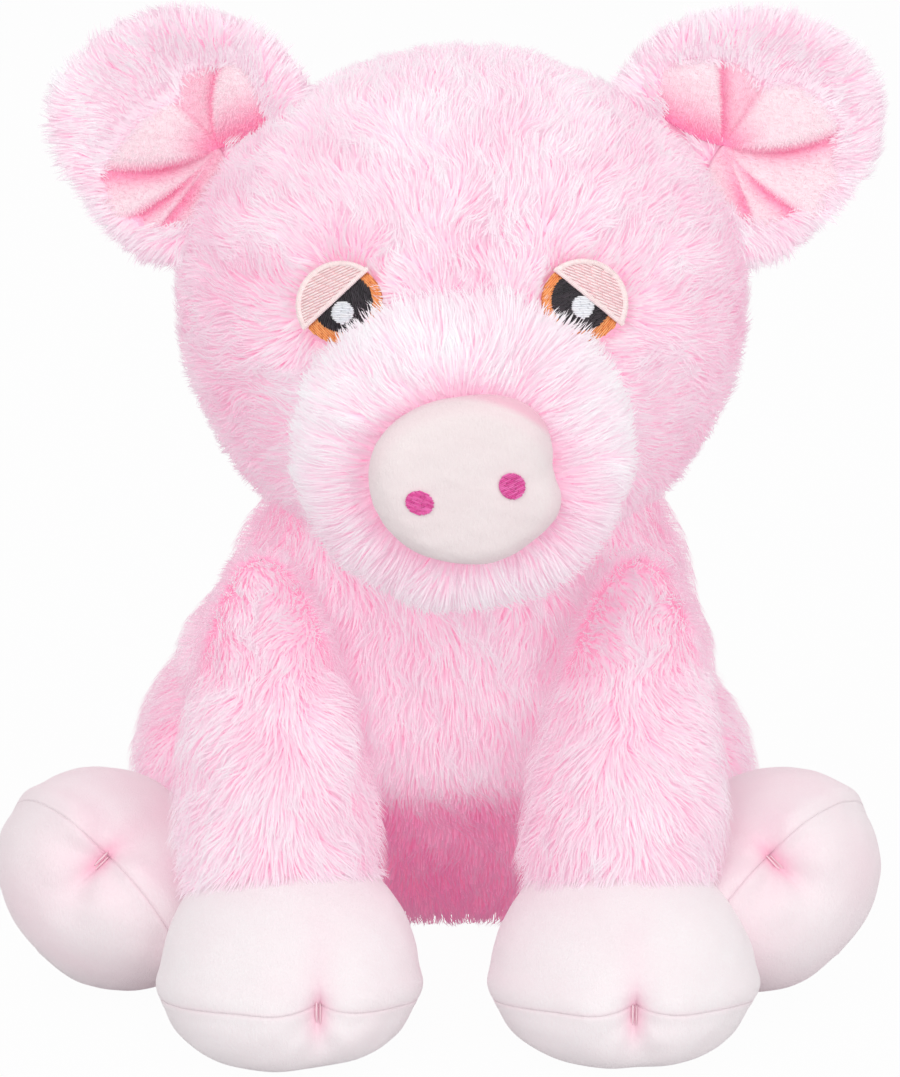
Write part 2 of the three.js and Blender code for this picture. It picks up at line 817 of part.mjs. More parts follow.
class Curl extends THREE.Curve {
  getPoint(share, target = new THREE.Vector3()) {
    const angle = 2 * Math.PI * tailTurns * share;
    const x = tailCurlRadius * Math.sin(angle);
    const z = tailLift + tailCurlRadius * (1 - Math.cos(angle));
    return target.set(x, tailBack + tailLength * share, z);
  }
}

const tailJoint = { at: new THREE.Vector3(0, tailBack, tailLift), axis: new THREE.Vector3(-1, 0, 0) };
const tailPath = {
  extrudePath: new Curl(),
  steps: alongCount,
  curveSegments: tailFacets / 4,
  bevelEnabled: false,
};
const tailTube = new THREE.ExtrudeGeometry(disc(0, 0, tailRadius), tailPath);
const torsoTurning = swept(torsoForm(seamGap), tailJoint, -tailSwing, tailSwing);
add('tail', less(toSolid(tailTube), torsoTurning), palePink);

// The origin is set on the floor under the middle of the whole toy
const box = new THREE.Box3().setFromObject(pig);
const middle = box.getCenter(new THREE.Vector3());
pig.position.set(-middle.x, -middle.y, -box.min.z);

export default pig;
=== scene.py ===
import math

import bpy
import numpy as np
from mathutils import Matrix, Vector
from mathutils.bvhtree import BVHTree
from mathutils.kdtree import KDTree


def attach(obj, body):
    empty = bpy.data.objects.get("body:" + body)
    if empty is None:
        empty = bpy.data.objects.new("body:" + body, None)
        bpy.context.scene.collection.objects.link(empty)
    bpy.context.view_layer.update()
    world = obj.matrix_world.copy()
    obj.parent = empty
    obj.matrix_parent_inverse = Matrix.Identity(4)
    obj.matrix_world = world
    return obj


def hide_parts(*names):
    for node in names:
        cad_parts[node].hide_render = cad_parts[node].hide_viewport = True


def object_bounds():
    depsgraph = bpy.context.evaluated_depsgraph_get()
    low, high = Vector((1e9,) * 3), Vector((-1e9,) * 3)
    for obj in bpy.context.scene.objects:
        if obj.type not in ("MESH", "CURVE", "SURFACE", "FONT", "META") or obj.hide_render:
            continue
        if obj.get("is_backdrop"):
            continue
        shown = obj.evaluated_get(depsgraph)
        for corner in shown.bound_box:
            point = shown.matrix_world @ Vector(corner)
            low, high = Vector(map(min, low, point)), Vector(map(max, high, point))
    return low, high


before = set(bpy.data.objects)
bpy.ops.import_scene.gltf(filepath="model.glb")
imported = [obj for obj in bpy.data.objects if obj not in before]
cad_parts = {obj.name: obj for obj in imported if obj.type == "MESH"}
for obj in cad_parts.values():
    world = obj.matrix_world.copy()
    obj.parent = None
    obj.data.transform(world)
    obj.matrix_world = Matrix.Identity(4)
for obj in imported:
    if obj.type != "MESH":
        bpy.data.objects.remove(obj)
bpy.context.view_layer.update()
dice = np.random.default_rng(20)

MM = 0.001
# Moves the toy, drawn from its own middle, so that its box is centred on the frame's origin
FRAME_SHIFT = np.array([0.0, -4.478, 0.0])
# How far the cloth lies inside the outline of the pile that stands on it
PILE, EAR_PILE = 6.4, 4.5
# Pile whose root lies deeper than this inside another bag is left out
COVERED_DEPTH = 1.5
SIDES = {"left": 1, "right": -1}


# Vectors and smooth noise

def unit(vectors):
    lengths = np.linalg.norm(vectors, axis=-1, keepdims=True)
    return vectors / np.maximum(lengths, 1e-9)


def dot(first, second):
    return np.sum(first * second, axis=-1, keepdims=True)


def flattened(vectors, normals):
    """The part of each vector that lies along the surface, as a direction."""
    return unit(vectors - dot(vectors, normals) * normals)


def turn(x=0.0, y=0.0, z=0.0, order="XYZ"):
    """The matrix of turns in degrees about the axes, in this order."""
    made = np.identity(3)
    for axis in order:
        angle = math.radians({"X": x, "Y": y, "Z": z}[axis])
        c, s = math.cos(angle), math.sin(angle)
        made = made @ np.array({
            "X": [[1, 0, 0], [0, c, -s], [0, s, c]],
            "Y": [[c, 0, s], [0, 1, 0], [-s, 0, c]],
            "Z": [[c, -s, 0], [s, c, 0], [0, 0, 1]],
        }[axis])
    return made


def swirl(points, wavelength, seed, waves=7):
    """Smooth noise from about -1 to 1, as a sum of waves in random directions."""
    own = np.random.default_rng(seed)
    directions = unit(own.normal(size=(waves, 3)))
    lengths = wavelength * own.uniform(0.6, 1.5, waves)
    starts = own.uniform(0, 2 * math.pi, waves)
    total = sum(
        np.sin(points @ directions[k] * 2 * math.pi / lengths[k] + starts[k])
        for k in range(waves)
    )
    return total / math.sqrt(waves) * 0.75


def ease(low, high, values):
    share = np.clip((values - low) / (high - low), 0, 1)
    return share * share * (3 - 2 * share)


def bell(*pairs):
    """A smooth bump of height 1 over the middle of values, each given with its width."""
    return np.exp(-sum((values / width) ** 2 for values, width in pairs))


def first_in_cells(points, size, wobble=0.0):
    """The index of the first point in each cell of a grid."""
    cells = np.floor(points / size + 1000 + wobble).astype(np.int64)
    keys = (cells[:, 0] * 4096 + cells[:, 1]) * 4096 + cells[:, 2]
    return np.unique(keys, return_index=True)[1]


def corners_of(points, triangles):
    return (points[triangles[:, k]] for k in range(3))


# Closed forms

class Form:
    """A closed skin: points in millimetres, triangles that face out, and normals."""

    def __init__(self, points, triangles):
        self.points = np.asarray(points, float)
        self.triangles = np.asarray(triangles, int)
        self.normals = self.point_normals()
        self.kept_tree = None

    def point_normals(self):
        a, b, c = corners_of(self.points, self.triangles)
        facing = np.cross(b - a, c - a)
        normals = np.zeros_like(self.points)
        for k in range(3):
            np.add.at(normals, self.triangles[:, k], facing)
        return unit(normals)

    def grown(self, distance):
        return Form(self.points + self.normals * distance, self.triangles)

    def placed(self, matrix, at):
        return Form(self.points @ matrix.T + np.asarray(at, float), self.triangles)

    def moved(self, change):
        return Form(change(self.points, self.normals), self.triangles)

    @property
    def tree(self):
        if self.kept_tree is None:
            rows = self.points.tolist(), self.triangles.tolist()
            self.kept_tree = BVHTree.FromPolygons(*rows)
        return self.kept_tree

    def depth(self, points):
        """How far each point lies inside the form; less than zero outside it."""
        found = np.zeros(len(points))
        margin = 5
        low, high = self.points.min(0) - margin, self.points.max(0) + margin
        near = np.all((points > low) & (points < high), axis=1)
        found[~near] = -margin
        for index in np.nonzero(near)[0]:
            place, normal, _, distance = self.tree.find_nearest(points[index].tolist())
            side = (Vector(points[index]) - place).dot(normal)
            found[index] = -distance if side > 0 else distance
        return found

    def scattered(self, spacing):
        """Points spread evenly over the form, with their normals."""
        a, b, c = corners_of(self.points, self.triangles)
        areas = np.linalg.norm(np.cross(b - a, c - a), axis=1) / 2
        count = int(areas.sum() / spacing**2 * 3)
        chosen = dice.choice(len(areas), count, p=areas / areas.sum())
        u, v = dice.random(count), dice.random(count)
        over = u + v > 1
        u[over], v[over] = 1 - u[over], 1 - v[over]
        weights = np.stack([1 - u - v, u, v], 1)[:, :, None]
        corners = self.triangles[chosen]
        points = np.sum(self.points[corners] * weights, 1)
        normals = unit(np.sum(self.normals[corners] * weights, 1))
        kept = np.sort(first_in_cells(points, spacing))
        return points[kept], normals[kept]


def smooth_row(rows, share):
    """A smooth curve through rows of a table, read at shares from 0 to 1."""
    rows = np.asarray(rows, float)
    last = len(rows) - 1
    place = np.clip(share, 0, 1) * last
    index = np.minimum(place.astype(int), last - 1)
    t = (place - index)[:, None]
    padded = np.vstack([2 * rows[0] - rows[1], rows, 2 * rows[-1] - rows[-2]])
    before, start, end, after = (padded[index + k] for k in range(4))
    slope_in, slope_out = (end - before) / 2, (after - start) / 2
    return (
        (2 * t**3 - 3 * t**2 + 1) * start
        + (t**3 - 2 * t**2 + t) * slope_in
        + (3 * t**2 - 2 * t**3) * end
        + (t**3 - t**2) * slope_out
    )


def grid_triangles(rings, facets):
    """Triangles of a form of closed rings between a first and a last single point."""
    faces = []
    last = rings * facets + 1
    for step in range(facets):
        following = (step + 1) % facets
        faces.append((0, 1 + following, 1 + step))
        for ring in range(rings - 1):
            low = 1 + ring * facets
            high = low + facets
            faces.append((low + step, low + following, high + following))
            faces.append((low + step, high + following, high + step))
        faces.append((last, last - facets + step, last - facets + following))
    return faces


def bag(shares, height, width, depth, lean=0.0, sway=0.0, rings=44, facets=64):
    """Oval rings up a bag; each row of shares is place up, place back, width, depth."""
    share = np.arange(rings + 2) / (rings + 1)
    rows = smooth_row(shares, share)
    middles = np.stack([rows[:, 0] * sway, rows[:, 1] * lean, rows[:, 0] * height], 1)
    angles = np.arange(facets) * 2 * math.pi / facets
    round_x, round_y = np.cos(angles), np.sin(angles)
    points = [middles[:1]]
    for middle, row in zip(middles[1:-1], rows[1:-1]):
        x = middle[0] + row[2] * width / 2 * round_x
        y = middle[1] + row[3] * depth / 2 * round_y
        points.append(np.stack([x, y, np.full(facets, middle[2])], 1))
    points.append(middles[-1:])
    return Form(np.vstack(points), grid_triangles(rings, facets))


def round_rows(*rows):
    """Rows of a bag that leans no way and is as deep as it is wide."""
    return [(up, 0, wide, wide) for up, wide in rows]


TORSO_SHARES = [
    (-0.003, 1, 0, 0), (0.006, 1, 0.5, 0.42), (0.04, 1, 0.8, 0.64),
    (0.13, 0.98, 0.97, 0.8), (0.26, 0.86, 1, 0.92), (0.38, 0.62, 0.99, 1),
    (0.54, 0.38, 0.95, 0.94), (0.7, 0.14, 0.88, 0.8), (0.85, 0.04, 0.76, 0.62),
    (0.96, 0, 0.44, 0.38), (1, 0, 0, 0),
]
HEAD_SHARES = [
    (0, 0, 0, 0), (0.02, 0, 0.42, 0.38), (0.1, 0, 0.7, 0.68), (0.22, 0, 0.87, 0.86),
    (0.36, 0, 0.97, 0.96), (0.5, 0, 1, 1), (0.64, 0, 0.96, 0.98),
    (0.78, 0, 0.81, 0.85), (0.9, 0, 0.57, 0.6), (0.98, 0, 0.25, 0.27), (1, 0, 0, 0),
]
MUZZLE_SHARES = round_rows((0, 0), (0.02, 0.55), (0.2, 0.86), (0.45, 1), (0.7, 0.98),
                           (0.88, 0.82), (0.98, 0.48), (1, 0))
NOSE_SHARES = round_rows((0, 0), (0.04, 0.6), (0.3, 0.95), (0.6, 1), (0.88, 0.84),
                         (0.98, 0.5), (1, 0))
FRONT_HOOF_SHARES = [
    (-0.01, 0, 0, 0), (0.01, 0, 0.5, 0.5), (0.1, 0, 0.84, 0.84),
    (0.26, 0, 0.98, 0.98), (0.42, 0.1, 1, 1), (0.62, 0.4, 0.93, 0.9),
    (0.82, 0.8, 0.74, 0.7), (0.96, 1, 0.4, 0.38), (1, 1, 0, 0),
]
REAR_HOOF_SHARES = [
    (-0.24, 0, 0, 0), (-0.2, 0, 0.38, 0.38), (-0.06, 0, 0.72, 0.72),
    (0.12, 0, 0.92, 0.92), (0.3, 0, 0.99, 0.99), (0.46, 0.1, 1, 1),
    (0.64, 0.4, 0.93, 0.9), (0.82, 0.8, 0.74, 0.7), (0.96, 1, 0.4, 0.38),
    (1, 1, 0, 0),
]
FRONT_LEG_SHARES = [
    (0, 0, 0, 0), (0.03, 0, 0.7, 0.7), (0.14, 0, 0.98, 0.98), (0.34, 0.1, 1, 1),
    (0.54, 0.3, 0.9, 0.97), (0.72, 0.6, 0.76, 0.88), (0.86, 0.85, 0.58, 0.68),
    (0.96, 1, 0.32, 0.4), (1, 1, 0, 0),
]
THIGH_SHARES = round_rows((0, 0), (0.03, 0.5), (0.16, 0.86), (0.36, 1), (0.56, 0.95),
                          (0.76, 0.78), (0.94, 0.5), (1, 0))
EAR_SHARES = round_rows((0, 0), (0.02, 0.3), (0.14, 0.64), (0.4, 0.9), (0.7, 1), (0.9, 0.97),
                        (1, 0.84), (0.97, 0.68), (0.84, 0.52), (0.72, 0.3), (0.66, 0))

# Each bag's size, and where its base stands before the frame's shift
TORSO_SIZE = dict(height=158, width=130, depth=126, lean=40, sway=3)
HEAD_SIZE = dict(height=130, width=148, depth=126)
MUZZLE_SIZE = dict(height=60, width=83, depth=79)
NOSE_SIZE = dict(height=13, width=47, depth=41)
FRONT_LEG_SIZE = dict(height=104, width=57, depth=50, lean=12)
THIGH_SIZE = dict(height=92, width=66, depth=62)
EAR_SIZE = dict(height=26, width=74, depth=66)
HOOF_SIZE = dict(height=46, width=65, depth=64, lean=8)

HEAD_BASE, MUZZLE_BASE, NOSE_BASE = (3, -11, 114), (3, -34, 155), (3, -85, 153)
FRONT_LEG_BASE = (42, -47, 20)
HIP, ANKLE = (51.0, 50.0, 38.0), (70.0, -4.0, 38.0)
# How far the thigh's bag reaches back past the hip
HIP_OVERRUN = 33
# The head stands off the torso's middle by this, and each ear's middle off the head's
MIDDLE_X = 3.0
EAR_ASIDE, EAR_BACK, EAR_UP = 65.0, 10.0, 214.0

UPRIGHT = np.identity(3)
FORWARD = turn(x=90)
NOSE_MIDDLE = np.array([3.0, -98.0, 153.0]) + FRAME_SHIFT
HEAD_MIDDLE = np.array([3.0, -11.0, 179.0]) + FRAME_SHIFT
HOOF_TOE = np.array([0.0, -32.0, 19.0])


def placed(form, matrix, at):
    return form.placed(matrix, np.asarray(at, float) + FRAME_SHIFT)


torso_form = placed(bag(TORSO_SHARES, **TORSO_SIZE, rings=60, facets=90), UPRIGHT, (0, 0, 0))
head_form = placed(bag(HEAD_SHARES, **HEAD_SIZE, rings=60, facets=96), UPRIGHT, HEAD_BASE)
muzzle_form = placed(bag(MUZZLE_SHARES, **MUZZLE_SIZE), FORWARD, MUZZLE_BASE)
nose_form = placed(bag(NOSE_SHARES, **NOSE_SIZE, rings=40, facets=96), turn(x=90, y=9), NOSE_BASE)


def front_leg_form(sign):
    across, back, up = FRONT_LEG_BASE
    leg = bag(FRONT_LEG_SHARES, **FRONT_LEG_SIZE, sway=5 * sign)
    return placed(leg, UPRIGHT, (sign * across, back, up))


# How far each thigh lies from its mirrored place, as the toy sits
THIGH_SHIFTS = {1: (-2.5, 0.0, 1.5), -1: (-0.5, 0.0, 7.0)}


def thigh_form(sign):
    hip, ankle = (np.array([sign * x, y, z]) for x, y, z in (HIP, ANKLE))
    direction = Vector(ankle - hip).normalized()
    matrix = np.array(Vector((0, 0, 1)).rotation_difference(direction).to_matrix())
    start = hip - np.array(direction) * HIP_OVERRUN + np.array(THIGH_SHIFTS[sign])
    return placed(bag(THIGH_SHARES, **THIGH_SIZE), matrix, start)


# The ear's outline: degrees below level on the outer side, and its share of the oval
EAR_OUTLINE_SHARES = {
    1: [(-90, 1), (-60, 1.02), (-35, 1.05), (-15, 1.04), (5, 0.99), (20, 0.95), (40, 0.83),
        (58, 0.9), (78, 0.98), (90, 1)],
    -1: [(-90, 1), (-65, 0.98), (-45, 0.95), (-25, 1), (-8, 0.97), (5, 0.95), (20, 0.88),
         (40, 0.84), (58, 0.91), (78, 0.99), (90, 1)],
}


def ear_turn(sign):
    return turn(x=78, z=sign * 14, order="ZXY")


def ear_middle(sign, back=EAR_BACK):
    return np.array([MIDDLE_X + sign * EAR_ASIDE, back, EAR_UP])


def ear_form(sign):
    form = bag(EAR_SHARES, **EAR_SIZE, rings=56, facets=80)
    below = np.degrees(np.arctan2(-form.points[:, 1], sign * form.points[:, 0]))
    table = np.array(EAR_OUTLINE_SHARES[sign])
    share = sum(np.interp(below + turned, table[:, 0], table[:, 1], left=1, right=1)
                for turned in (-8, 0, 8)) / 3
    form.points[:, :2] *= share[:, None]
    return placed(form, ear_turn(sign), ear_middle(sign))


# Finishes

class Field:
    """A value that changes over a surface; sums on it add the nodes they need."""

    def __init__(self, finish, socket):
        self.finish = finish
        self.socket = socket

    def maths(self, operation, first, second=0.0):
        sockets = {0: first, 1: second}
        return self.finish.node("ShaderNodeMath", {"operation": operation}, sockets)

    def __add__(self, other):
        return self.maths("ADD", self, other)

    def __radd__(self, other):
        return self.maths("ADD", other, self)

    def __sub__(self, other):
        return self.maths("SUBTRACT", self, other)

    def __rsub__(self, other):
        return self.maths("SUBTRACT", other, self)

    def __mul__(self, other):
        return self.maths("MULTIPLY", self, other)

    def __rmul__(self, other):
        return self.maths("MULTIPLY", other, self)


def beside(field, output):
    """Another output of the node that a field comes from."""
    return Field(field.finish, field.socket.node.outputs[output])


class Shading:
    """A tree of nodes, whose fields feed each other."""

    def __init__(self, tree):
        self.nodes = tree.nodes
        self.links = tree.links

    def node(self, kind, settings=None, sockets=None, output=0):
        made = self.nodes.new(kind)
        for key, value in (settings or {}).items():
            if key == "stops":
                self.stops(made.color_ramp, value)
            else:
                setattr(made, key, value)
        for key, value in (sockets or {}).items():
            self.feed(made.inputs[key], value)
        return Field(self, made.outputs[output])

    def stops(self, ramp, stops):
        while len(ramp.elements) < len(stops):
            ramp.elements.new(0.5)
        for element, (place, colour) in zip(ramp.elements, stops):
            element.position = place
            element.color = (*colour, 1)

    def feed(self, socket, value):
        if isinstance(value, Field):
            self.links.new(value.socket, socket)
        elif isinstance(value, tuple) and len(socket.default_value) > len(value):
            socket.default_value = (*value, 1)
        else:
            socket.default_value = value


SHADER_INPUTS = {
    "base": "Base Color", "roughness": "Roughness", "normal": "Normal",
    "sheen": "Sheen Weight", "sheen_roughness": "Sheen Roughness",
    "specular": "Specular IOR Level", "glow": "Emission Color",
    "glow_strength": "Emission Strength",
}


class Finish(Shading):
    """One material, made of a fabric shader and the fields that feed it."""

    def __init__(self, name):
        self.material = bpy.data.materials.new(name)
        self.material.use_nodes = True
        super().__init__(self.material.node_tree)
        self.nodes.clear()
        self.shader = self.nodes.new("ShaderNodeBsdfPrincipled")
        self.output = self.nodes.new("ShaderNodeOutputMaterial")
        self.links.new(self.shader.outputs[0], self.output.inputs[0])

    def mix(self, factor, first, second):
        settings = {"data_type": "RGBA", "clamp_factor": True}
        return self.node("ShaderNodeMix", settings, {0: factor, 6: first, 7: second}, 2)

    def noise(self, scale, detail=2.0, roughness=0.5, stretch=(1.0, 1.0, 1.0)):
        place = self.node("ShaderNodeTexCoord", output=3)
        sockets = {0: place, 1: stretch}
        place = self.node("ShaderNodeVectorMath", {"operation": "MULTIPLY"}, sockets)
        sockets = {"Vector": place, "Scale": scale, "Detail": detail, "Roughness": roughness}
        return self.node("ShaderNodeTexNoise", None, sockets)

    def attribute(self, name):
        return self.node("ShaderNodeAttribute", {"attribute_name": name}, None, 2)

    def bump(self, height, strength, distance):
        sockets = {"Height": height, "Strength": strength, "Distance": distance}
        return self.node("ShaderNodeBump", None, sockets)

    def made(self, **sockets):
        for key, value in sockets.items():
            self.feed(self.shader.inputs[SHADER_INPUTS[key]], value)
        return self.material


# The chart of a pile or thread finish has a column for each shade
COLUMNS = 64

BLACK = (0.0, 0.0, 0.0)
PASSED_PINK = (0.68, 0.28, 0.42)
# Share of pink light that the fibres pass on, from root to tip
ROOT_GLOW = [(0.0, (0.9, 0.9, 0.9)), (0.3, (0.45, 0.45, 0.45)), (0.65, (0.0, 0.0, 0.0))]


def pile_finish(name, deep_stops, pale_stops, glow):
    """Pile that pales from root to tip; each tuft takes its shade from its own column.
    The glow stands for the light that the fine fibres pass on to each other."""
    finish = Finish(name)
    chart = finish.node("ShaderNodeUVMap", {"uv_map": "OFBake"})
    shade = finish.node("ShaderNodeSeparateXYZ", None, {0: chart})
    along = beside(shade, 1)
    deep, pale, low = (finish.node("ShaderNodeValToRGB", {"stops": stops}, {0: along})
                       for stops in (deep_stops, pale_stops, ROOT_GLOW))
    base = finish.mix(shade, deep, pale)
    dimmed = finish.mix(0.5, base, BLACK)
    passed = finish.mix(low * (shade * 0.9 + 0.3), dimmed, PASSED_PINK)
    return finish.made(base=base, glow=passed, glow_strength=2 * glow, roughness=0.9,
                       sheen=0.2, sheen_roughness=0.6, specular=0.1)


def skin_finish(name, colour, deep):
    """The knitted backing between tufts; its glow is painted light that lifts the shade there."""
    finish = Finish(name)
    patches = finish.noise(180.0, 3.0)
    weave = finish.noise(2600.0, 2.0)
    base = finish.mix(patches, colour, deep)
    return finish.made(base=base, glow=base, glow_strength=0.25, roughness=0.95, specular=0.1,
                       normal=finish.bump(weave, 0.5, 0.0004))


def nap_finish(name, pale, warm, crease, glow=0.04):
    """Velvety pile: fine nap, slow mottling, painted shade in creases and a painted-light glow.
    """
    finish = Finish(name)
    fold = finish.attribute("crease")
    mottling = finish.noise(90.0, 3.0)
    nap = finish.noise(2200.0, 4.0, 0.7, (1.0, 1.0, 0.3))
    base = finish.mix(mottling * 0.8 - 0.1, pale, warm)
    base = finish.mix((nap - 0.4) * 1.6, base, warm)
    base = finish.mix(fold, base, crease)
    return finish.made(base=base, glow=base, glow_strength=glow, roughness=0.8, sheen=0.35,
                       sheen_roughness=0.5, specular=0.15, normal=finish.bump(nap, 0.5, 0.0006))


def thread_finish(name, colour, other, glow=0.0):
    """Satin thread: each stitch keeps one shade, with a soft gloss; any glow is painted light."""
    finish = Finish(name)
    chart = finish.node("ShaderNodeUVMap", {"uv_map": "OFBake"})
    shade = finish.node("ShaderNodeSeparateXYZ", None, {0: chart})
    base = finish.mix(shade, colour, other)
    return finish.made(base=base, glow=base, glow_strength=glow, roughness=0.55, sheen=0.15,
                       specular=0.35)


def ground_finish(name, colour, other):
    """The close thread ground under a patch of stitches."""
    finish = Finish(name)
    weave = finish.noise(1900.0, 2.0)
    return finish.made(base=finish.mix(weave, colour, other), roughness=0.8, specular=0.2,
                       normal=finish.bump(weave, 0.4, 0.0003))


long_pile = pile_finish(
    "long_pile",
    [(0.0, (0.74, 0.2, 0.4)), (0.5, (0.74, 0.24, 0.45)), (1.0, (0.74, 0.3, 0.5))],
    [(0.0, (0.77, 0.71, 0.75)), (0.5, (0.775, 0.765, 0.785)), (1.0, (0.785, 0.79, 0.8))],
    0.26,
)
backing = skin_finish("backing", (0.86, 0.5, 0.64), (0.85, 0.44, 0.6))
# The short pile's glow is painted light that makes its shade pinker.
nap = nap_finish("short_pile", (0.84, 0.81, 0.82), (0.83, 0.73, 0.755), (0.87, 0.43, 0.57),
                 glow=0.14)
nose_nap = nap_finish("nose_pile", (0.87, 0.79, 0.79), (0.83, 0.71, 0.72), (0.9, 0.4, 0.55))
# The lining's glow is painted light that keeps the shade in its folds pink.
lining_nap = nap_finish("lining_pile", (0.88, 0.79, 0.82), (0.87, 0.7, 0.755),
                        (0.92, 0.26, 0.48), glow=0.12)
lining_fuzz = pile_finish(
    "lining_fuzz",
    [(0.0, (0.9, 0.22, 0.42)), (1.0, (0.9, 0.36, 0.56))],
    [(0.0, (0.87, 0.72, 0.76)), (1.0, (0.87, 0.77, 0.8))],
    0.17,
)
# The lid edge's glow is painted light that lifts its shade.
edge_thread = thread_finish("edge_thread", (0.97, 0.86, 0.85), (0.95, 0.8, 0.8), glow=0.08)
cleft_thread = thread_finish("cleft_thread", (0.93, 0.72, 0.77), (0.9, 0.6, 0.67))


def patch_finishes(name, thread, ground):
    return ground_finish(f"{name}_ground", *ground), thread_finish(f"{name}_thread", *thread)


# Two colours of thread and its glow, which is painted light, then two colours of the ground
PATCHES = {
    "lid": patch_finishes("lid", [(0.97, 0.82, 0.82), (0.95, 0.72, 0.74), 0.08],
                          [(0.92, 0.62, 0.64), (0.88, 0.53, 0.56)]),
    "iris": patch_finishes("iris", [(0.97, 0.47, 0.18), (0.9, 0.33, 0.1), 0.08],
                           [(0.75, 0.27, 0.09), (0.65, 0.2, 0.06)]),
    "pupil": patch_finishes("pupil", [(0.016, 0.013, 0.018), (0.05, 0.04, 0.05)],
                            [(0.012, 0.01, 0.013), (0.03, 0.024, 0.03)]),
    "highlight": patch_finishes("spark", [(0.96, 0.97, 0.99), (0.9, 0.93, 0.97)],
                                [(0.8, 0.84, 0.9), (0.7, 0.76, 0.84)]),
    "nostril": patch_finishes("nostril", [(0.93, 0.2, 0.55), (0.78, 0.07, 0.36)],
                              [(0.6, 0.03, 0.25), (0.5, 0.02, 0.2)]),
}


# Pieces

def linked(name, data):
    made = bpy.data.objects.new(name, data)
    bpy.context.scene.collection.objects.link(made)
    return made


def mesh_of(name, points, triangles, finish, smooth=True):
    mesh = bpy.data.meshes.new(name)
    triangles = np.asarray(triangles, np.int32)
    mesh.vertices.add(len(points))
    mesh.vertices.foreach_set("co", (np.asarray(points) * MM).astype(np.float32).ravel())
    mesh.loops.add(triangles.size)
    mesh.loops.foreach_set("vertex_index", triangles.ravel())
    mesh.polygons.add(len(triangles))
    starts = np.arange(0, triangles.size, 3, dtype=np.int32)
    mesh.polygons.foreach_set("loop_start", starts)
    mesh.update(calc_edges=True)
    mesh.polygons.foreach_set("use_smooth", np.full(len(triangles), smooth))
    mesh.materials.append(finish)
    return linked(name, mesh)


def ridden(made, body, replaced=()):
    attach(made, body)
    if replaced:
        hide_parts(*replaced)


def creased(made, values):
    """How much of the finish's deeper crease colour each point takes, mostly painted shade in
    folds.
    """
    attribute = made.data.attributes.new("crease", "FLOAT", "POINT")
    attribute.data.foreach_set("value", np.clip(values, 0, 1).astype(np.float32))
    return made


def facing_out(points, triangles):
    """The same triangles, turned so that a closed skin faces out."""
    a, b, c = corners_of(points, triangles)
    return triangles if np.sum(a * np.cross(b, c)) > 0 else triangles[:, ::-1]


def thick_sheet(name, front, back, finish):
    """A closed sheet between two grids of points of the same rows and columns."""
    rows, columns = front.shape[:2]
    count = rows * columns
    points = np.vstack([front.reshape(-1, 3), back.reshape(-1, 3)])
    index = np.arange(count).reshape(rows, columns)
    corners = [index[:-1, :-1], index[:-1, 1:], index[1:, 1:], index[1:, :-1]]
    quads = np.stack(corners, -1).reshape(-1, 4)
    over = np.vstack([quads[:, [0, 1, 2]], quads[:, [0, 2, 3]]])
    under = over[:, ::-1] + count
    rim = [index[0, :-1], index[:-1, -1], index[-1, :0:-1], index[:0:-1, 0]]
    rim = np.concatenate(rim)
    following = np.roll(rim, -1)
    walls = [np.stack([following, rim, rim + count], 1),
             np.stack([following, rim + count, following + count], 1)]
    triangles = np.vstack([over, under, *walls])
    return mesh_of(name, points, facing_out(points, triangles), finish)


def charted(made, chart, shades, flipped=None):
    """Lays each tuft or stitch on its own column of the finish's chart, by its shade from
    0 to 1. chart holds one tuft's own places; flipped marks those drawn the other way."""
    columns = np.floor(np.clip(shades, 0, 0.999) * COLUMNS)[:, None, None]
    chart = np.array(chart)
    u = (columns + chart[None, :, :, 0]) / COLUMNS
    v = np.broadcast_to(chart[None, :, :, 1], u.shape)
    pairs = np.stack([u, v * 0.96 + 0.02], -1)
    if flipped is not None:
        pairs = np.where(flipped[:, None, None, None], pairs[:, :, ::-1], pairs)
    layer = made.data.uv_layers.new(name="OFBake")
    layer.data.foreach_set("uv", pairs.astype(np.float32).ravel())
    return made


# Places along a stitch, as shares of its length, and how full it is there
STITCH_SHARES = ((0.12, 0.8), (0.5, 1.0), (0.88, 0.8))


def stitches(name, finish, starts, ends, normals, width, height, shades):
    """Satin stitches: closed spindles, each with its own shade."""
    count = len(starts)
    along = unit(ends - starts)
    across = unit(np.cross(along, normals))
    points = [starts - normals * height * 0.5]
    for share, full in STITCH_SHARES:
        middle = starts + (ends - starts) * share
        top = height * full
        points += [middle + across * width / 2 * full, middle + normals * top,
                   middle - across * width / 2 * full, middle - normals * height * 0.5]
    points.append(ends - normals * height * 0.5)
    per = len(points)
    points = np.stack(points, 1).reshape(-1, 3)
    faces, chart = [], []
    for k in range(4):
        after = (k + 1) % 4
        u0, u1 = 0.1 + 0.2 * k, 0.1 + 0.2 * (k + 1)
        faces.append((0, 1 + after, 1 + k))
        chart.append(((u0 + 0.1, 0.0), (u1, 0.2), (u0, 0.2)))
        for ring in range(2):
            low, high = 1 + 4 * ring, 5 + 4 * ring
            v0, v1 = 0.2 + 0.3 * ring, 0.5 + 0.3 * ring
            faces += [(low + k, low + after, high + after), (low + k, high + after, high + k)]
            chart += [((u0, v0), (u1, v0), (u1, v1)), ((u0, v0), (u1, v1), (u0, v1))]
        faces.append((per - 1, 9 + k, 9 + after))
        chart.append(((u0 + 0.1, 1.0), (u0, 0.8), (u1, 0.8)))
    faces = np.array(faces)
    one = points[:per]
    corner = [one[faces[:, k]] - one.mean(0) for k in range(3)]
    if np.sum(corner[0] * np.cross(corner[1], corner[2])) < 0:
        faces = faces[:, ::-1]
        chart = [triple[::-1] for triple in chart]
    every = ((np.arange(count) * per)[:, None, None] + faces[None]).reshape(-1, 3)
    return charted(mesh_of(name, points, every, finish), chart, shades)


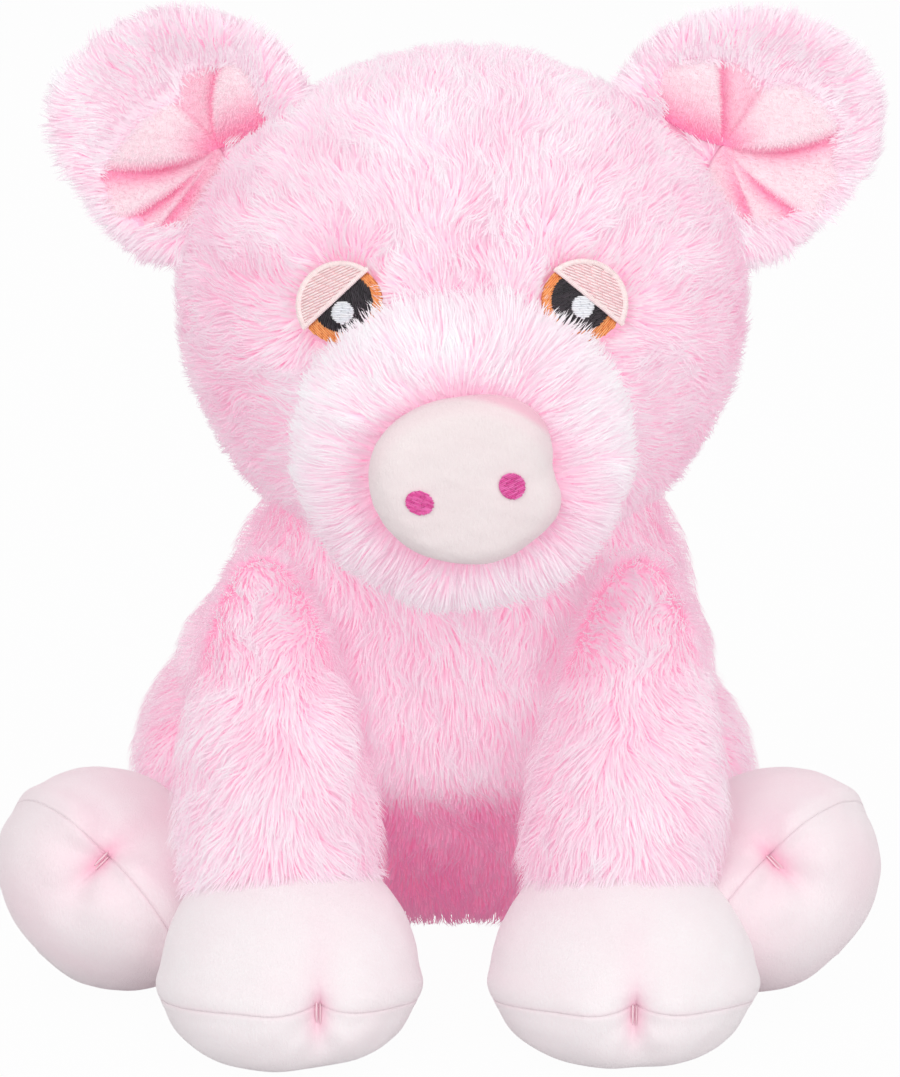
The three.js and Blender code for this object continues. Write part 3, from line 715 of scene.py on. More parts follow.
def disc_grid(wide, high):
    """A grid of places that fills an oval."""
    reach = np.linspace(0.03, 0.97, 8)[:, None]
    turns = np.linspace(0, 2 * math.pi, 25)[None, :]
    return np.stack([reach * np.cos(turns) * wide, reach * np.sin(turns) * high], -1)


def rows_of_stitches(region, angle, gap, length, reach=13.0):
    """Starts and ends of stitches laid in brick order along rows that fill a region."""
    angle = math.radians(angle)
    way = np.array([math.cos(angle), math.sin(angle)])
    aside = np.array([-math.sin(angle), math.cos(angle)])
    steps = np.arange(-reach, reach, 0.12)
    starts, ends = [], []
    for number, offset in enumerate(np.arange(-reach, reach, gap)):
        inside = region(offset * aside + steps[:, None] * way)
        changes = np.flatnonzero(np.diff(np.concatenate([[0], inside.astype(int), [0]])))
        for first, last in zip(changes[::2], changes[1::2]):
            low, high = steps[first], steps[min(last, len(steps) - 1)]
            early = length * (0.5 * (number % 2) + 0.3 * dice.random())
            cuts = np.arange(low - early, high, length)
            cuts = np.clip(np.append(cuts, high), low, high)
            for start, end in zip(cuts[:-1], cuts[1:]):
                if end - start > 0.5:
                    starts.append(offset * aside + (start - 0.15) * way)
                    ends.append(offset * aside + (end + 0.15) * way)
    return np.array(starts), np.array(ends)


def stitched(name, drawing, kind, grid, region, row_angle, row_gap, length, width, lift=0.3):
    """A patch of satin stitches on its ground, laid on the drawing's form."""
    ground, thread = PATCHES[kind]
    flat = grid.reshape(-1, 2)
    front, _ = drawing.laid(flat, lift)
    back, _ = drawing.laid(flat, lift - 1.2)
    shape = (*grid.shape[:2], 3)
    made = thick_sheet(f"{name}_ground", front.reshape(shape), back.reshape(shape), ground)
    ridden(made, "head", [name])
    starts, ends = rows_of_stitches(region, row_angle, row_gap, length)
    first, facing = drawing.laid(starts, lift + 0.1)
    last, facing_too = drawing.laid(ends, lift + 0.1)
    made = stitches(f"{name}_stitches", thread, first, last, unit(facing + facing_too), width,
                    0.3, dice.random(len(starts)))
    ridden(made, "head")


def tufts(name, finish, roots, bends, normals, widths, shades):
    """Closed three-sided tufts. bends holds the points up each tuft after its root;
    shades picks each tuft's column of the chart, from 0 to 1."""
    count = len(roots)
    path = [roots, *bends]
    segments = len(bends)
    along = unit(path[-1] - roots)
    across = unit(np.cross(along, normals))
    across[np.linalg.norm(np.cross(along, normals), axis=1) < 1e-4] = (1, 0, 0)
    under = unit(np.cross(along, across))
    under *= np.sign(dot(under, -normals) + 1e-9)
    points = []
    for k in range(segments):
        wide = (widths * (1 - 0.55 * (k / segments) ** 1.4))[:, None]
        points += [path[k] + across * wide / 2, path[k] - across * wide / 2]
        points.append(path[k] + under * wide * 0.2)
    points.append(path[-1])
    per = 3 * segments + 1
    points = np.stack(points, 1).reshape(-1, 3)
    faces, chart = [], []
    left, right, keel = (0.15, 0.85, 0.5)
    sides = [(0, 1, left, right), (1, 2, right, keel), (2, 0, keel, left)]
    for k in range(segments - 1):
        low, high = 3 * k, 3 * k + 3
        v0, v1 = k / segments, (k + 1) / segments
        for a, b, ua, ub in sides:
            faces += [(low + a, low + b, high + b), (low + a, high + b, high + a)]
            chart += [((ua, v0), (ub, v0), (ub, v1)), ((ua, v0), (ub, v1), (ua, v1))]
    low = 3 * (segments - 1)
    v0 = (segments - 1) / segments
    for a, b, ua, ub in sides:
        faces.append((low + a, low + b, per - 1))
        chart.append(((ua, v0), (ub, v0), ((ua + ub) / 2, 1.0)))
    faces.append((0, 2, 1))
    chart.append(((left, 0.0), (keel, 0.03), (right, 0.0)))
    faces = np.array(faces)
    handed = dot(np.cross(across, along), normals)[:, 0] > 0
    every = (np.arange(count) * per)[:, None, None] + faces[None]
    flipped = every[:, :, ::-1]
    every = np.where(handed[:, None, None], flipped, every).reshape(-1, 3)
    return charted(mesh_of(name, points, every, finish, smooth=False), chart, shades, handed)


# The deep end of the chart is kept for pile that lies in the shade under the belly
DEEP_SHARE = 0.35
# Part of the tufts are a broad, low undercoat that closes the pile between the fine ones
UNDERCOAT_SHARE = 0.5
UNDERCOAT_WIDTH = 3.2


def coat(body, panel, form, spacing, flow, length=10.0, width=0.34, rise=(58, 4), shade=0.5,
         clump=4.5, gather=0.26, keep=None, hidden=(), segments=2, wander=20.0, seed=1):
    """The pile on one bag, one piece to each panel of its cloth.
    flow(points, normals) gives the way that the pile lies; rise is in degrees, at the
    root and at the tip; panel(points) names the panel that carries each tuft."""
    roots, normals = form.scattered(spacing)
    if keep is not None:
        kept = keep(roots, normals)
        roots, normals = roots[kept], normals[kept]
    for other in hidden:
        kept = other.depth(roots) < COVERED_DEPTH
        roots, normals = roots[kept], normals[kept]
    count = len(roots)
    lie = flattened(flow(roots, normals), normals)
    aside = np.cross(normals, lie)
    sway = np.radians(wander * swirl(roots, 20, seed) + wander * swirl(roots, 7, seed + 1))
    sway = (sway + np.radians(dice.normal(0, 7, count)))[:, None]
    lie = lie * np.cos(sway) + aside * np.sin(sway)
    long = length(roots) if callable(length) else np.full(count, float(length))
    long = long * dice.uniform(0.85, 1.1, count) * (1 + 0.08 * swirl(roots, 16, seed + 2))
    long = long[:, None]
    lift = swirl(roots, 11, seed + 3)[:, None] * 6
    rises = rise(roots) if callable(rise) else np.tile(rise, (count, 1)).astype(float)
    under = dice.random(count) < UNDERCOAT_SHARE
    long[under] *= 0.88
    rises[under] = rises[under] * (0.72, 0.5)
    lift[under] *= 0.4
    bends, at = [], roots
    for k in range(segments):
        share = k / max(segments - 1, 1)
        angle = np.radians(rises[:, :1] + (rises[:, 1:] - rises[:, :1]) * share + lift)
        at = at + (lie * np.cos(angle) + normals * np.sin(angle)) * long / segments
        bends.append(at)
    seeds = first_in_cells(roots, clump, 0.3 * swirl(roots, 7, seed + 4)[:, None])
    tree = KDTree(len(seeds))
    for order, index in enumerate(seeds):
        tree.insert(roots[index].tolist(), order)
    tree.balance()
    nearest = seeds[[tree.find(p)[1] for p in roots.tolist()]]
    for k in range(segments):
        share = ((k + 1) / segments) ** 1.5 * gather
        goal = bends[k][nearest] + dice.normal(0, 0.35, (count, 3))
        bends[k] = bends[k] + (goal - bends[k]) * share
    for bend in bends:
        bend[:, 2] = np.maximum(bend[:, 2], 0.4)
    mean = shade(roots) if callable(shade) else shade
    shades = mean + 0.1 * swirl(roots, 26, seed + 5) + 0.06 * swirl(roots, 6, seed + 6)
    shades = shades + dice.normal(0, 0.05, count) + dice.normal(0, 0.05, count)[nearest]
    shades = DEEP_SHARE + (1 - DEEP_SHARE) * shades
    widths = width * dice.uniform(0.75, 1.25, count) * np.where(under, UNDERCOAT_WIDTH, 1)
    panels = panel(roots) if callable(panel) else np.full(count, panel)
    for one in sorted(set(panels.tolist())):
        for layer, kept, path in (("undercoat", under, bends[-1:]), ("pile", ~under, bends)):
            own = (panels == one) & kept
            made = tufts(f"{one}_{layer}", long_pile, roots[own], [bend[own] for bend in path],
                         normals[own], widths[own], shades[own])
            ridden(made, body)


def floor_settled(points, normals):
    """The bag's underside is pressed down on the floor by the filling's weight."""
    settled = points.copy()
    settled[:, 2] -= np.clip(1 - settled[:, 2] / 26, 0, 1) * 5.2
    settled[:, 2] = np.maximum(settled[:, 2], 0.8)
    return settled


# How far the filling pushes the body's sides out at each height: height, right, left
SIDE_FILL = np.array([
    (30, 0, 0), (45, 4, 1), (60, 9, 4), (74, 13.5, 8.5), (82, 12, 7), (91, 5.5, 4.5),
    (100, 3, 4.2), (112, 1.5, 3), (120, -2.5, 0.5), (128, -2.5, 0), (140, 0, 0),
])


def filled_out(points, normals):
    x, _, z = points.T
    filled = floor_settled(points, normals)
    right, left = (np.interp(z, SIDE_FILL[:, 0], SIDE_FILL[:, k]) for k in (1, 2))
    filled[:, 0] += ease(10, 50, np.abs(x)) * np.where(x > 0, left, -right)
    return filled


def pressed_in(form, sign):
    """The front leg's cloth gives way, under its pile, where the lifted rear hoof rests."""
    toward = form.normals @ np.array([0.75 * sign, 0.66, 0.0])
    press = ease(0.6, 0.98, toward) * bell((form.points[:, 2] - 44, 19))
    return form.moved(lambda points, normals: points - normals * 2.6 * press[:, None])


# Bags

SPACING = 0.86

torso_skin = torso_form.grown(-PILE).moved(filled_out)
head_skin = head_form.grown(-PILE)
muzzle_skin = muzzle_form.grown(-PILE)
front_legs = {side: front_leg_form(sign) for side, sign in SIDES.items()}
front_leg_skins = {side: pressed_in(form.grown(-PILE), SIDES[side])
                   for side, form in front_legs.items()}
thighs = {side: thigh_form(sign) for side, sign in SIDES.items()}
thigh_skins = {side: form.grown(-PILE).moved(floor_settled) for side, form in thighs.items()}
ears = {side: ear_form(sign) for side, sign in SIDES.items()}
ear_skins = {side: form.grown(-EAR_PILE) for side, form in ears.items()}


def backed(name, skin, body, replaced):
    made = mesh_of(name, skin.points, skin.triangles, backing)
    ridden(made, body, replaced)


backed("torso_backing", torso_skin, "torso",
       ["chest_panel", "belly_panel", "body_side_left", "body_side_right", "body_filling"])

CHEST_LOW = 58.0


def torso_flow(points, normals):
    x, y, z = points.T
    lie = np.tile((0.0, 0.2, -1.0), (len(points), 1))
    lie[:, 0] += 0.25 * np.sign(x) * ease(0, 30, np.abs(x))
    lie[:, 1] -= 0.9 * ease(60, 95, z) * (y < 0)
    return lie


def torso_panel(points):
    x, y, z = points.T
    sides = np.where(x > 0, "body_side_left", "body_side_right")
    front = (y < -10) & (np.abs(x) < 40)
    fronts = np.where(z > CHEST_LOW, "chest", "belly")
    return np.where(front, fronts, sides)


def torso_shade(points):
    """Painted shade: the pile is deepest between the legs, low on the belly; a little paler
    higher up.
    """
    x, y, z = points.T
    under = (1 - ease(44, CHEST_LOW + 4, z)) * ease(15, -5, y) * (1 - ease(34, 48, np.abs(x)))
    return 0.54 + 0.04 * ease(60, 90, z) - 0.9 * under


def above_floor(points, normals):
    return (points[:, 2] > 1.5) & (normals[:, 2] > -0.9)


covers = [head_skin, *front_leg_skins.values(), *thigh_skins.values()]
coat("torso", torso_panel, torso_skin, SPACING * 1.15, torso_flow, hidden=covers,
     shade=torso_shade, keep=above_floor, wander=28, clump=4.0, gather=0.22, seed=10)

backed("head_backing", head_skin, "head", ["head_side_left", "head_side_right", "head_filling"])
backed("muzzle_backing", muzzle_skin, "head", ["muzzle_cover", "muzzle_filling"])

# The face is drawn flat, as it is seen from the front and a little above, on an upright
# plane; each drawing is then laid on the form behind it.
DRAWN_PITCH = math.radians(17)
DRAWN_WAY = np.array([0.0, math.cos(DRAWN_PITCH), -math.sin(DRAWN_PITCH)])
CAST_LENGTH = 60
FACE_PLANE = -68.0
# The eye's radius, and the heights of its lid's edge and of its lower end
EYE_RADIUS, LID_EDGE, EYE_LOW = 10.4, 1.7, -8.2
# Each eye's middle on the drawing and its slope in degrees
EYES = {"left": ((31.0, 189.1), -38.5), "right": ((-25.4, 188.6), 42.5)}


class Drawing:
    """A drawing with its own middle and slope on a plane, laid on a form."""

    def __init__(self, form, middle, slope, plane):
        self.form = form
        self.middle = np.asarray(middle, float)
        angle = math.radians(slope)
        self.axes = np.array([[math.cos(angle), math.sin(angle)],
                              [-math.sin(angle), math.cos(angle)]])
        self.plane = plane

    def laid(self, places, lift=0.0):
        """Points on the form, and the form's normals there."""
        flat = self.middle + np.asarray(places, float) @ self.axes
        starts = np.stack([flat[:, 0], np.full(len(flat), self.plane), flat[:, 1]], 1)
        starts = starts - DRAWN_WAY * CAST_LENGTH
        points, normals = np.empty_like(starts), np.empty_like(starts)
        for index, start in enumerate(starts):
            found = self.form.tree.ray_cast(Vector(start), Vector(DRAWN_WAY))
            if found[0] is None:
                found = self.form.tree.find_nearest(Vector(start + DRAWN_WAY * CAST_LENGTH))
            points[index], normals[index] = found[0], found[1]
        return points + normals * lift, normals

    def places(self, points):
        """Where points in space lie on the drawing."""
        rise = (points[:, 1] - self.plane) * math.tan(DRAWN_PITCH)
        flat = np.stack([points[:, 0], points[:, 2] + rise], 1) - self.middle
        return flat @ self.axes.T


eye_ground = head_form.grown(-3.2)
eye_drawings = {
    side: Drawing(eye_ground, middle, slope, FACE_PLANE) for side, (middle, slope) in EYES.items()
}


def on_head_front(points):
    return points[:, 1] < HEAD_MIDDLE[1] - 20


def eye_reach(points):
    """How far each point lies outside the stitched part of the nearer eye."""
    reach = np.full(len(points), 99.0)
    for drawing in eye_drawings.values():
        places = drawing.places(points)
        beyond = np.linalg.norm(places, axis=1) - EYE_RADIUS
        beyond = np.maximum(beyond, EYE_LOW + 1.8 - places[:, 1])
        reach = np.minimum(reach, beyond)
    return np.where(on_head_front(points), reach, 99.0)


def head_flow(points, normals):
    """The pile lies away from the nose, and parts over each eye."""
    lie = unit(points - NOSE_MIDDLE) + np.array([0.0, 0.25, -0.25])
    for drawing in eye_drawings.values():
        places = drawing.places(points)
        above = ease(-6, 4, places[:, 1])
        near = bell((np.linalg.norm(places, axis=1), 17)) * above * on_head_front(points)
        flat = places @ drawing.axes
        away = unit(np.stack([flat[:, 0], np.zeros(len(flat)), flat[:, 1]], 1))
        lie = lie * (1 - 0.8 * near[:, None]) + away * near[:, None]
    return lie


def head_length(points):
    return 9.0 - 3.5 * (1 - ease(0, 9, eye_reach(points)))


def head_rise(points):
    near = 1 - ease(0, 7, eye_reach(points))
    return np.stack([52 + 18 * near, 8 + 44 * near], 1)


def head_panel(points):
    return np.where(points[:, 0] > 3, "head_side_left", "head_side_right")


def head_shade(points):
    """Painted light and shade: the pile is deeper on the sides of the head and paler on top."""
    offset = points - HEAD_MIDDLE
    aside = ease(34, 64, np.hypot(offset[:, 0], np.minimum(offset[:, 2], 0)))
    return 0.7 + 0.08 * ease(30, 60, offset[:, 2]) - 0.26 * aside


coat("head", head_panel, head_skin, SPACING, head_flow, length=head_length, rise=head_rise,
     hidden=[torso_skin, muzzle_skin, *ear_skins.values()], wander=32,
     keep=lambda p, n: eye_reach(p) > -0.5, shade=head_shade, seed=20)


def muzzle_flow(points, normals):
    """The pile lies away from the nose."""
    away = points - NOSE_MIDDLE
    away[:, 1] *= 0.3
    return away


def nose_share(points):
    """How far out each point lies from the nose's middle; 1 is at the disc's seam."""
    offset = points - NOSE_MIDDLE
    share = np.hypot(offset[:, 0] / 20.5, offset[:, 2] / 18)
    return np.where(points[:, 1] < NOSE_MIDDLE[1] + 14, share, 9.0)


def off_nose(points, normals):
    return nose_share(points) > 1


def muzzle_shade(points):
    """Painted light and shade: paler on top, deeper low down and at the seam to the nose."""
    seam = bell((nose_share(points) - 1, 0.09))
    return 0.65 + 0.16 * ease(130, 165, points[:, 2]) - 0.45 * seam


def muzzle_length(points):
    near = 1 - ease(-2, 7, eye_reach(points))
    seam = bell((nose_share(points) - 1, 0.2))
    return 11.0 - 6.0 * near - 3.0 * seam


def muzzle_rise(points):
    back = ease(-88, -66, points[:, 1]) * ease(168, 182, points[:, 2])
    near = 1 - ease(-2, 7, eye_reach(points))
    return np.stack([56 + 8 * back, 8 + 22 * back + 24 * near], 1)


coat("head", "muzzle", muzzle_skin, SPACING * 0.92, muzzle_flow, length=muzzle_length,
     width=0.38, hidden=[head_skin], keep=off_nose, segments=3,
     shade=muzzle_shade, rise=muzzle_rise, wander=18, clump=4.0, seed=30)


def leg_flow(sign):
    """The pile falls to both sides of a parting, and forward on the leg's top."""
    def flow(points, normals):
        x, _, z = points.T
        top = ease(86, 104, z)
        upper = ease(66, 84, z) * (1 - top)
        lie = np.tile((0.0, 0.0, -1.0), (len(points), 1))
        lie[:, 1] -= 0.25 * upper + 1.3 * top
        lie[:, 2] += 0.85 * top
        across = x - sign * 41
        parted = (0.6 + 0.6 * upper) * (1 - top) * np.tanh(across / 8) * (normals[:, 1] < 0.4)
        lie[:, 0] += parted + sign * 0.1 * top
        return lie
    return flow


# The height of the seam where the leg's long pile ends at the hoof
LEG_HEM = 36.5


def leg_shade(sign):
    """Painted shade: the pile is paler on the leg's outer side, deeper towards chest and
    shoulder.
    """
    return lambda points: (0.55 + 0.13 * ease(24, 44, sign * points[:, 0])
                           - 0.05 * ease(78, 96, points[:, 2]))


def leg_length(points):
    return 7.5 + 2.5 * ease(LEG_HEM, 52, points[:, 2]) - 3.0 * ease(74, 96, points[:, 2])


def leg_rise(points):
    hem = 1 - ease(LEG_HEM, LEG_HEM + 14, points[:, 2])
    return np.stack([50 + 14 * hem, 12 + 24 * hem], 1)


for side, sign in SIDES.items():
    skin = front_leg_skins[side]
    nodes = [f"front_leg_{side}_{part}" for part in ("outer", "inner", "filling")]
    backed(f"front_leg_{side}_backing", skin, f"front_leg_{side}", nodes)
    coat(f"front_leg_{side}", f"front_leg_{side}", skin, SPACING, leg_flow(sign),
         length=leg_length, rise=leg_rise, hidden=[torso_skin, head_skin],
         shade=leg_shade(sign), wander=27, clump=3.8, gather=0.22,
         keep=lambda p, n: p[:, 2] > LEG_HEM, seed=40 + sign)


def thigh_flow(points, normals):
    lie = np.tile((0.0, -0.35, -1.0), (len(points), 1))
    lie[:, 0] = 0.5 * np.sign(points[:, 0])
    return lie


for side, sign in SIDES.items():
    skin = thigh_skins[side]
    nodes = [f"rear_leg_{side}_{part}" for part in ("top", "under", "filling")]
    backed(f"rear_leg_{side}_backing", skin, f"rear_leg_{side}", nodes)
    coat(f"rear_leg_{side}", f"rear_leg_{side}", skin, SPACING * 1.15, thigh_flow, shade=0.6,
         hidden=[torso_skin], keep=above_floor, seed=50 + sign)


# Hooves

REAR_HOOF_SHARE = 0.955
REAR_HOOVES = {1: (81.0, -28.5), -1: (-87.0, -28.0)}


def hoof_place(front, sign):
    """The hoof's turning matrix, its place and its rows of shares."""
    if front:
        return UPRIGHT, np.array([1.5 + sign * 41.5, -64.0, 0.0]), FRONT_HOOF_SHARES
    matrix = turn(x=-31, y=-sign * 42, z=sign * 3, order="ZXY") * REAR_HOOF_SHARE
    trial = bag(REAR_HOOF_SHARES, **HOOF_SIZE).points @ matrix.T
    low, high = trial.min(0), trial.max(0)
    middle = (low + high) / 2
    across, back = REAR_HOOVES[sign]
    at = np.array([across - middle[0], back - middle[1], -low[2] - 0.5])
    return matrix, at, REAR_HOOF_SHARES


# How deep the thread draws the toe in, and how wide, for a front and for a rear hoof
PINCH = {True: (3.4, 6), False: (5.5, 7)}
SEAM_TILT = math.radians(-16)
SEAM_TOE = 21.5
SEAM_RING = 40
HOOF_RINGS, HOOF_FACETS = 104, 150


def hoof_bag(shares):
    """A hoof whose rings are drawn level with the seam, so that one ring is the seam.
    Gives its form, each point's ring and how far each point lies above the seam."""
    size = HOOF_SIZE
    angles = np.arange(HOOF_FACETS) * 2 * math.pi / HOOF_FACETS

    def drawn(share, angle):
        rows = smooth_row(shares, share)
        x = rows[:, 2] * size["width"] / 2 * np.cos(angle)
        y = rows[:, 1] * size["lean"] + rows[:, 3] * size["depth"] / 2 * np.sin(angle)
        return np.stack([x, y, rows[:, 0] * size["height"]], 1)

    def above_seam(points):
        up = (points[:, 2] - SEAM_TOE) * math.cos(SEAM_TILT)
        return up - (points[:, 1] - HOOF_TOE[1]) * math.sin(SEAM_TILT)

    tries = np.linspace(0.04, 0.9, 260)
    seam_shares = np.array([
        np.interp(0.0, above_seam(drawn(tries, np.full(len(tries), angle))), tries)
        for angle in angles
    ])
    points = [drawn(np.zeros(1), np.zeros(1))]
    for ring in range(HOOF_RINGS):
        if ring <= SEAM_RING:
            share = seam_shares * (ring + 1) / (SEAM_RING + 1)
        else:
            rest = (1 - seam_shares) * (ring - SEAM_RING) / (HOOF_RINGS - SEAM_RING)
            share = seam_shares + rest
        points.append(drawn(share, angles))
    points.append(drawn(np.ones(1), np.zeros(1)))
    form = Form(np.vstack(points), grid_triangles(HOOF_RINGS, HOOF_FACETS))
    ring_of = np.repeat(np.arange(HOOF_RINGS), HOOF_FACETS)
    ring_of = np.concatenate([[-1], ring_of, [HOOF_RINGS]])
    return form, ring_of, above_seam(form.points)


def hoof_form(front, sign, cleft_shift):
    matrix, at, shares = hoof_place(front, sign)
    form, ring_of, above = hoof_bag(shares)
    points = form.points
    across = points[:, 0] - cleft_shift
    upward = points[:, 2] - HOOF_TOE[2]
    toward = ease(0, 14, -points[:, 1])
    pull_depth, pull_width = PINCH[front]
    pull = pull_depth * bell((across, pull_width), (upward, 13))
    sharp = 4.0 * np.exp(-np.abs(across / 1.7) ** 1.3 - (upward / 5.5) ** 2)
    angle = np.arctan2(upward, across)
    reach = np.hypot(across, upward)
    rays = np.cos(angle * 5 + 0.9) * bell((reach - 9, 7)) * (0.35 if front else 1.0)
    cheeks = 1.2 * bell((np.abs(across) - 11, 7), (upward, 12))
    in_depth = toward * (pull + sharp + rays - cheeks)
    seam = bell((above, 0.7))
    if not front:
        seam = seam * (1 - 0.8 * ease(2, 14, sign * across))
    roll = 0.8 * bell((above - 3.6, 3.2)) - 0.5 * ease(0.5, -3, above)
    inward = 0.2 * seam - roll + 0.5 * swirl(points, 34, 5 + sign) + 0.1 * swirl(points, 9, 6)
    moved = points - form.normals * inward[:, None]
    moved[:, 1] += in_depth
    # Painted shade: deeper crease colour in the toe's pinch, in the soft groove above it and
    # along the seam; the rear hooves also take a slowly varying pinker tint all over.
    crease = toward * bell((across, 3.0), (upward, 6.5)) * 0.35
    crease += toward * np.exp(-np.abs(across / 1.2) - (upward / 5.5) ** 2) * 0.6
    crease += toward * 0.12 * bell((across, 4.5), (upward - 12, 9)) + 0.13 * seam
    if not front:
        crease += 0.15 + 0.07 * swirl(points, 30, 15 + sign)
    made = Form(moved, form.triangles).placed(matrix, at + FRAME_SHIFT)
    made.points[:, 2] = np.maximum(made.points[:, 2], 0.0)
    return made, crease, ring_of


def half_hoof(name, form, crease, ring_of, upper):
    """The upper or the sole: one side of the seam, closed where it meets the other."""
    rings = ring_of[form.triangles]
    kept = form.triangles[np.all(rings >= SEAM_RING if upper else rings <= SEAM_RING, axis=1)]
    rim = 1 + SEAM_RING * HOOF_FACETS + np.arange(HOOF_FACETS)
    following = np.roll(rim, -1)
    middle = len(form.points)
    fan = [following, rim] if upper else [rim, following]
    closing = np.stack([*fan, np.full(HOOF_FACETS, middle)], 1)
    faces = np.vstack([kept, closing])
    points = np.vstack([form.points, form.points[rim].mean(0)])
    used, packed = np.unique(faces, return_inverse=True)
    made = mesh_of(name, points[used], packed.reshape(-1, 3), nap)
    return creased(made, np.append(crease, 1.0)[used])


# Each thread's place aside of the cleft and its two ends' heights over the toe
CLEFT_THREADS = ((-0.5, 3.0, -2.6), (0.4, 2.4, -3.2))


def cleft_threads(name, form, front, sign, shift):
    """Two short threads that pinch the toe."""
    matrix, at, _ = hoof_place(front, sign)
    way = Vector(matrix @ np.array([0.0, 1.0, 0.0]))
    found = []
    for aside, *heights in CLEFT_THREADS:
        for height in heights:
            toe = np.array([shift + aside, -60.0, HOOF_TOE[2] + height])
            start = Vector(matrix @ toe + at + FRAME_SHIFT)
            found.append(form.tree.ray_cast(start, way)[:2])
    places, normals = np.array(found).transpose(1, 0, 2)
    return stitches(name, cleft_thread, places[::2], places[1::2],
                    unit(normals[::2] + normals[1::2]), 0.6, 0.4, np.array([0.2, 0.5]))


# How far each front cleft lies from its hoof's middle
CLEFT_SHIFTS = {"left": 1.6, "right": 8.2}

for kind, front in (("front", True), ("rear", False)):
    for side, sign in SIDES.items():
        shift = CLEFT_SHIFTS[side] if front else 0.0
        form, crease, ring_of = hoof_form(front, sign, shift)
        name = f"{kind}_hoof_{side}"
        for part, upper in (("upper", True), ("sole", False)):
            made = half_hoof(f"{name}_{part}_cloth", form, crease, ring_of, upper)
            stands_for = [f"{name}_{part}"] + ([f"{name}_filling"] if upper else [])
            ridden(made, f"{kind}_leg_{side}", stands_for)
        made = cleft_threads(f"{name}_threads", form, front, sign, shift)
        ridden(made, f"{kind}_leg_{side}", [f"{name}_stitch"])


# Nose and nostrils

# Degrees round the disc from its left side up, and the share of its radius there
NOSE_OUTLINE_SHARES = [
    (-180, 0.97), (-137, 0.9), (-93, 0.92), (-35, 0.965), (-13, 1.0), (6, 0.84), (24, 0.95),
    (44, 1.06), (79, 1.02), (115, 0.99), (148, 1.03), (180, 0.97),
]


def nose_outline(points, normals):
    """The disc's edge is drawn in where the long pile is sewn over it."""
    offset = points - NOSE_MIDDLE
    angles = np.degrees(np.arctan2(offset[:, 2], offset[:, 0]))
    table = np.array(NOSE_OUTLINE_SHARES)
    share = sum(np.interp((angles + turned + 180) % 360 - 180, table[:, 0], table[:, 1])
                for turned in (-8, -4, 0, 4, 8)) / 5
    moved = points.copy()
    for axis in (0, 2):
        moved[:, axis] = NOSE_MIDDLE[axis] + offset[:, axis] * share
    return moved - normals * (0.35 * swirl(points, 17, 3) + 0.1 * swirl(points, 5, 4))[:, None]


nose_cloth = nose_form.moved(nose_outline)
reach = nose_cloth.points - NOSE_MIDDLE
edge = np.hypot(reach[:, 0] / 23.5, reach[:, 2] / 20.5)
made = mesh_of("nose_cloth", nose_cloth.points, nose_cloth.triangles, nose_nap)
# Painted shade: the crease colour deepens towards the disc's edge, where the long pile covers it.
creased(made, 0.12 * ease(0.8, 0.95, edge) + 0.55 * ease(0.97, 1.04, edge))
ridden(made, "head", ["nose_disc"])

NOSTRIL_PLANE = -102.0
# Each nostril's middle, half its size and its slope in degrees, on the drawing
NOSTRILS = {
    "left": ((14.1, 154.2), (3.0, 3.15), 28),
    "right": ((-7.0, 150.2), (3.25, 2.75), -24),
}
for side, (middle, (wide, high), slope) in NOSTRILS.items():
    drawing = Drawing(nose_cloth, middle, slope, NOSTRIL_PLANE)
    stitched(f"nostril_{side}", drawing, "nostril", disc_grid(wide, high),
             lambda p: (p[:, 0] / wide) ** 2 + (p[:, 1] / high) ** 2 < 1,
             row_angle=0, row_gap=0.42, length=2.6, width=0.5)

# Eyes


def reach_of(places):
    return np.linalg.norm(places, axis=1)


def below_lid(p):
    return (p[:, 1] < LID_EDGE - 0.4) & (p[:, 1] > EYE_LOW)


def band_grid(low, high, radius=EYE_RADIUS):
    """A grid of places between two heights of a round."""
    up = np.linspace(low, high, 14)[:, None]
    across = np.linspace(-1, 1, 26)[None, :]
    half_width = np.sqrt(np.maximum(radius**2 - up**2, 0.04))
    return np.stack([across * half_width, np.repeat(up, 26, 1)], -1)


IRIS_RADIUS, PUPIL_RADIUS, SPARK_RADIUS = 9.5, 7.1, 2.7
EDGE_GAP = 0.42
PUPIL_ASIDE = {"left": -0.5, "right": 0.5}
SPARKS = {"left": (0.5, -1.0), "right": (-1.0, -1.7)}

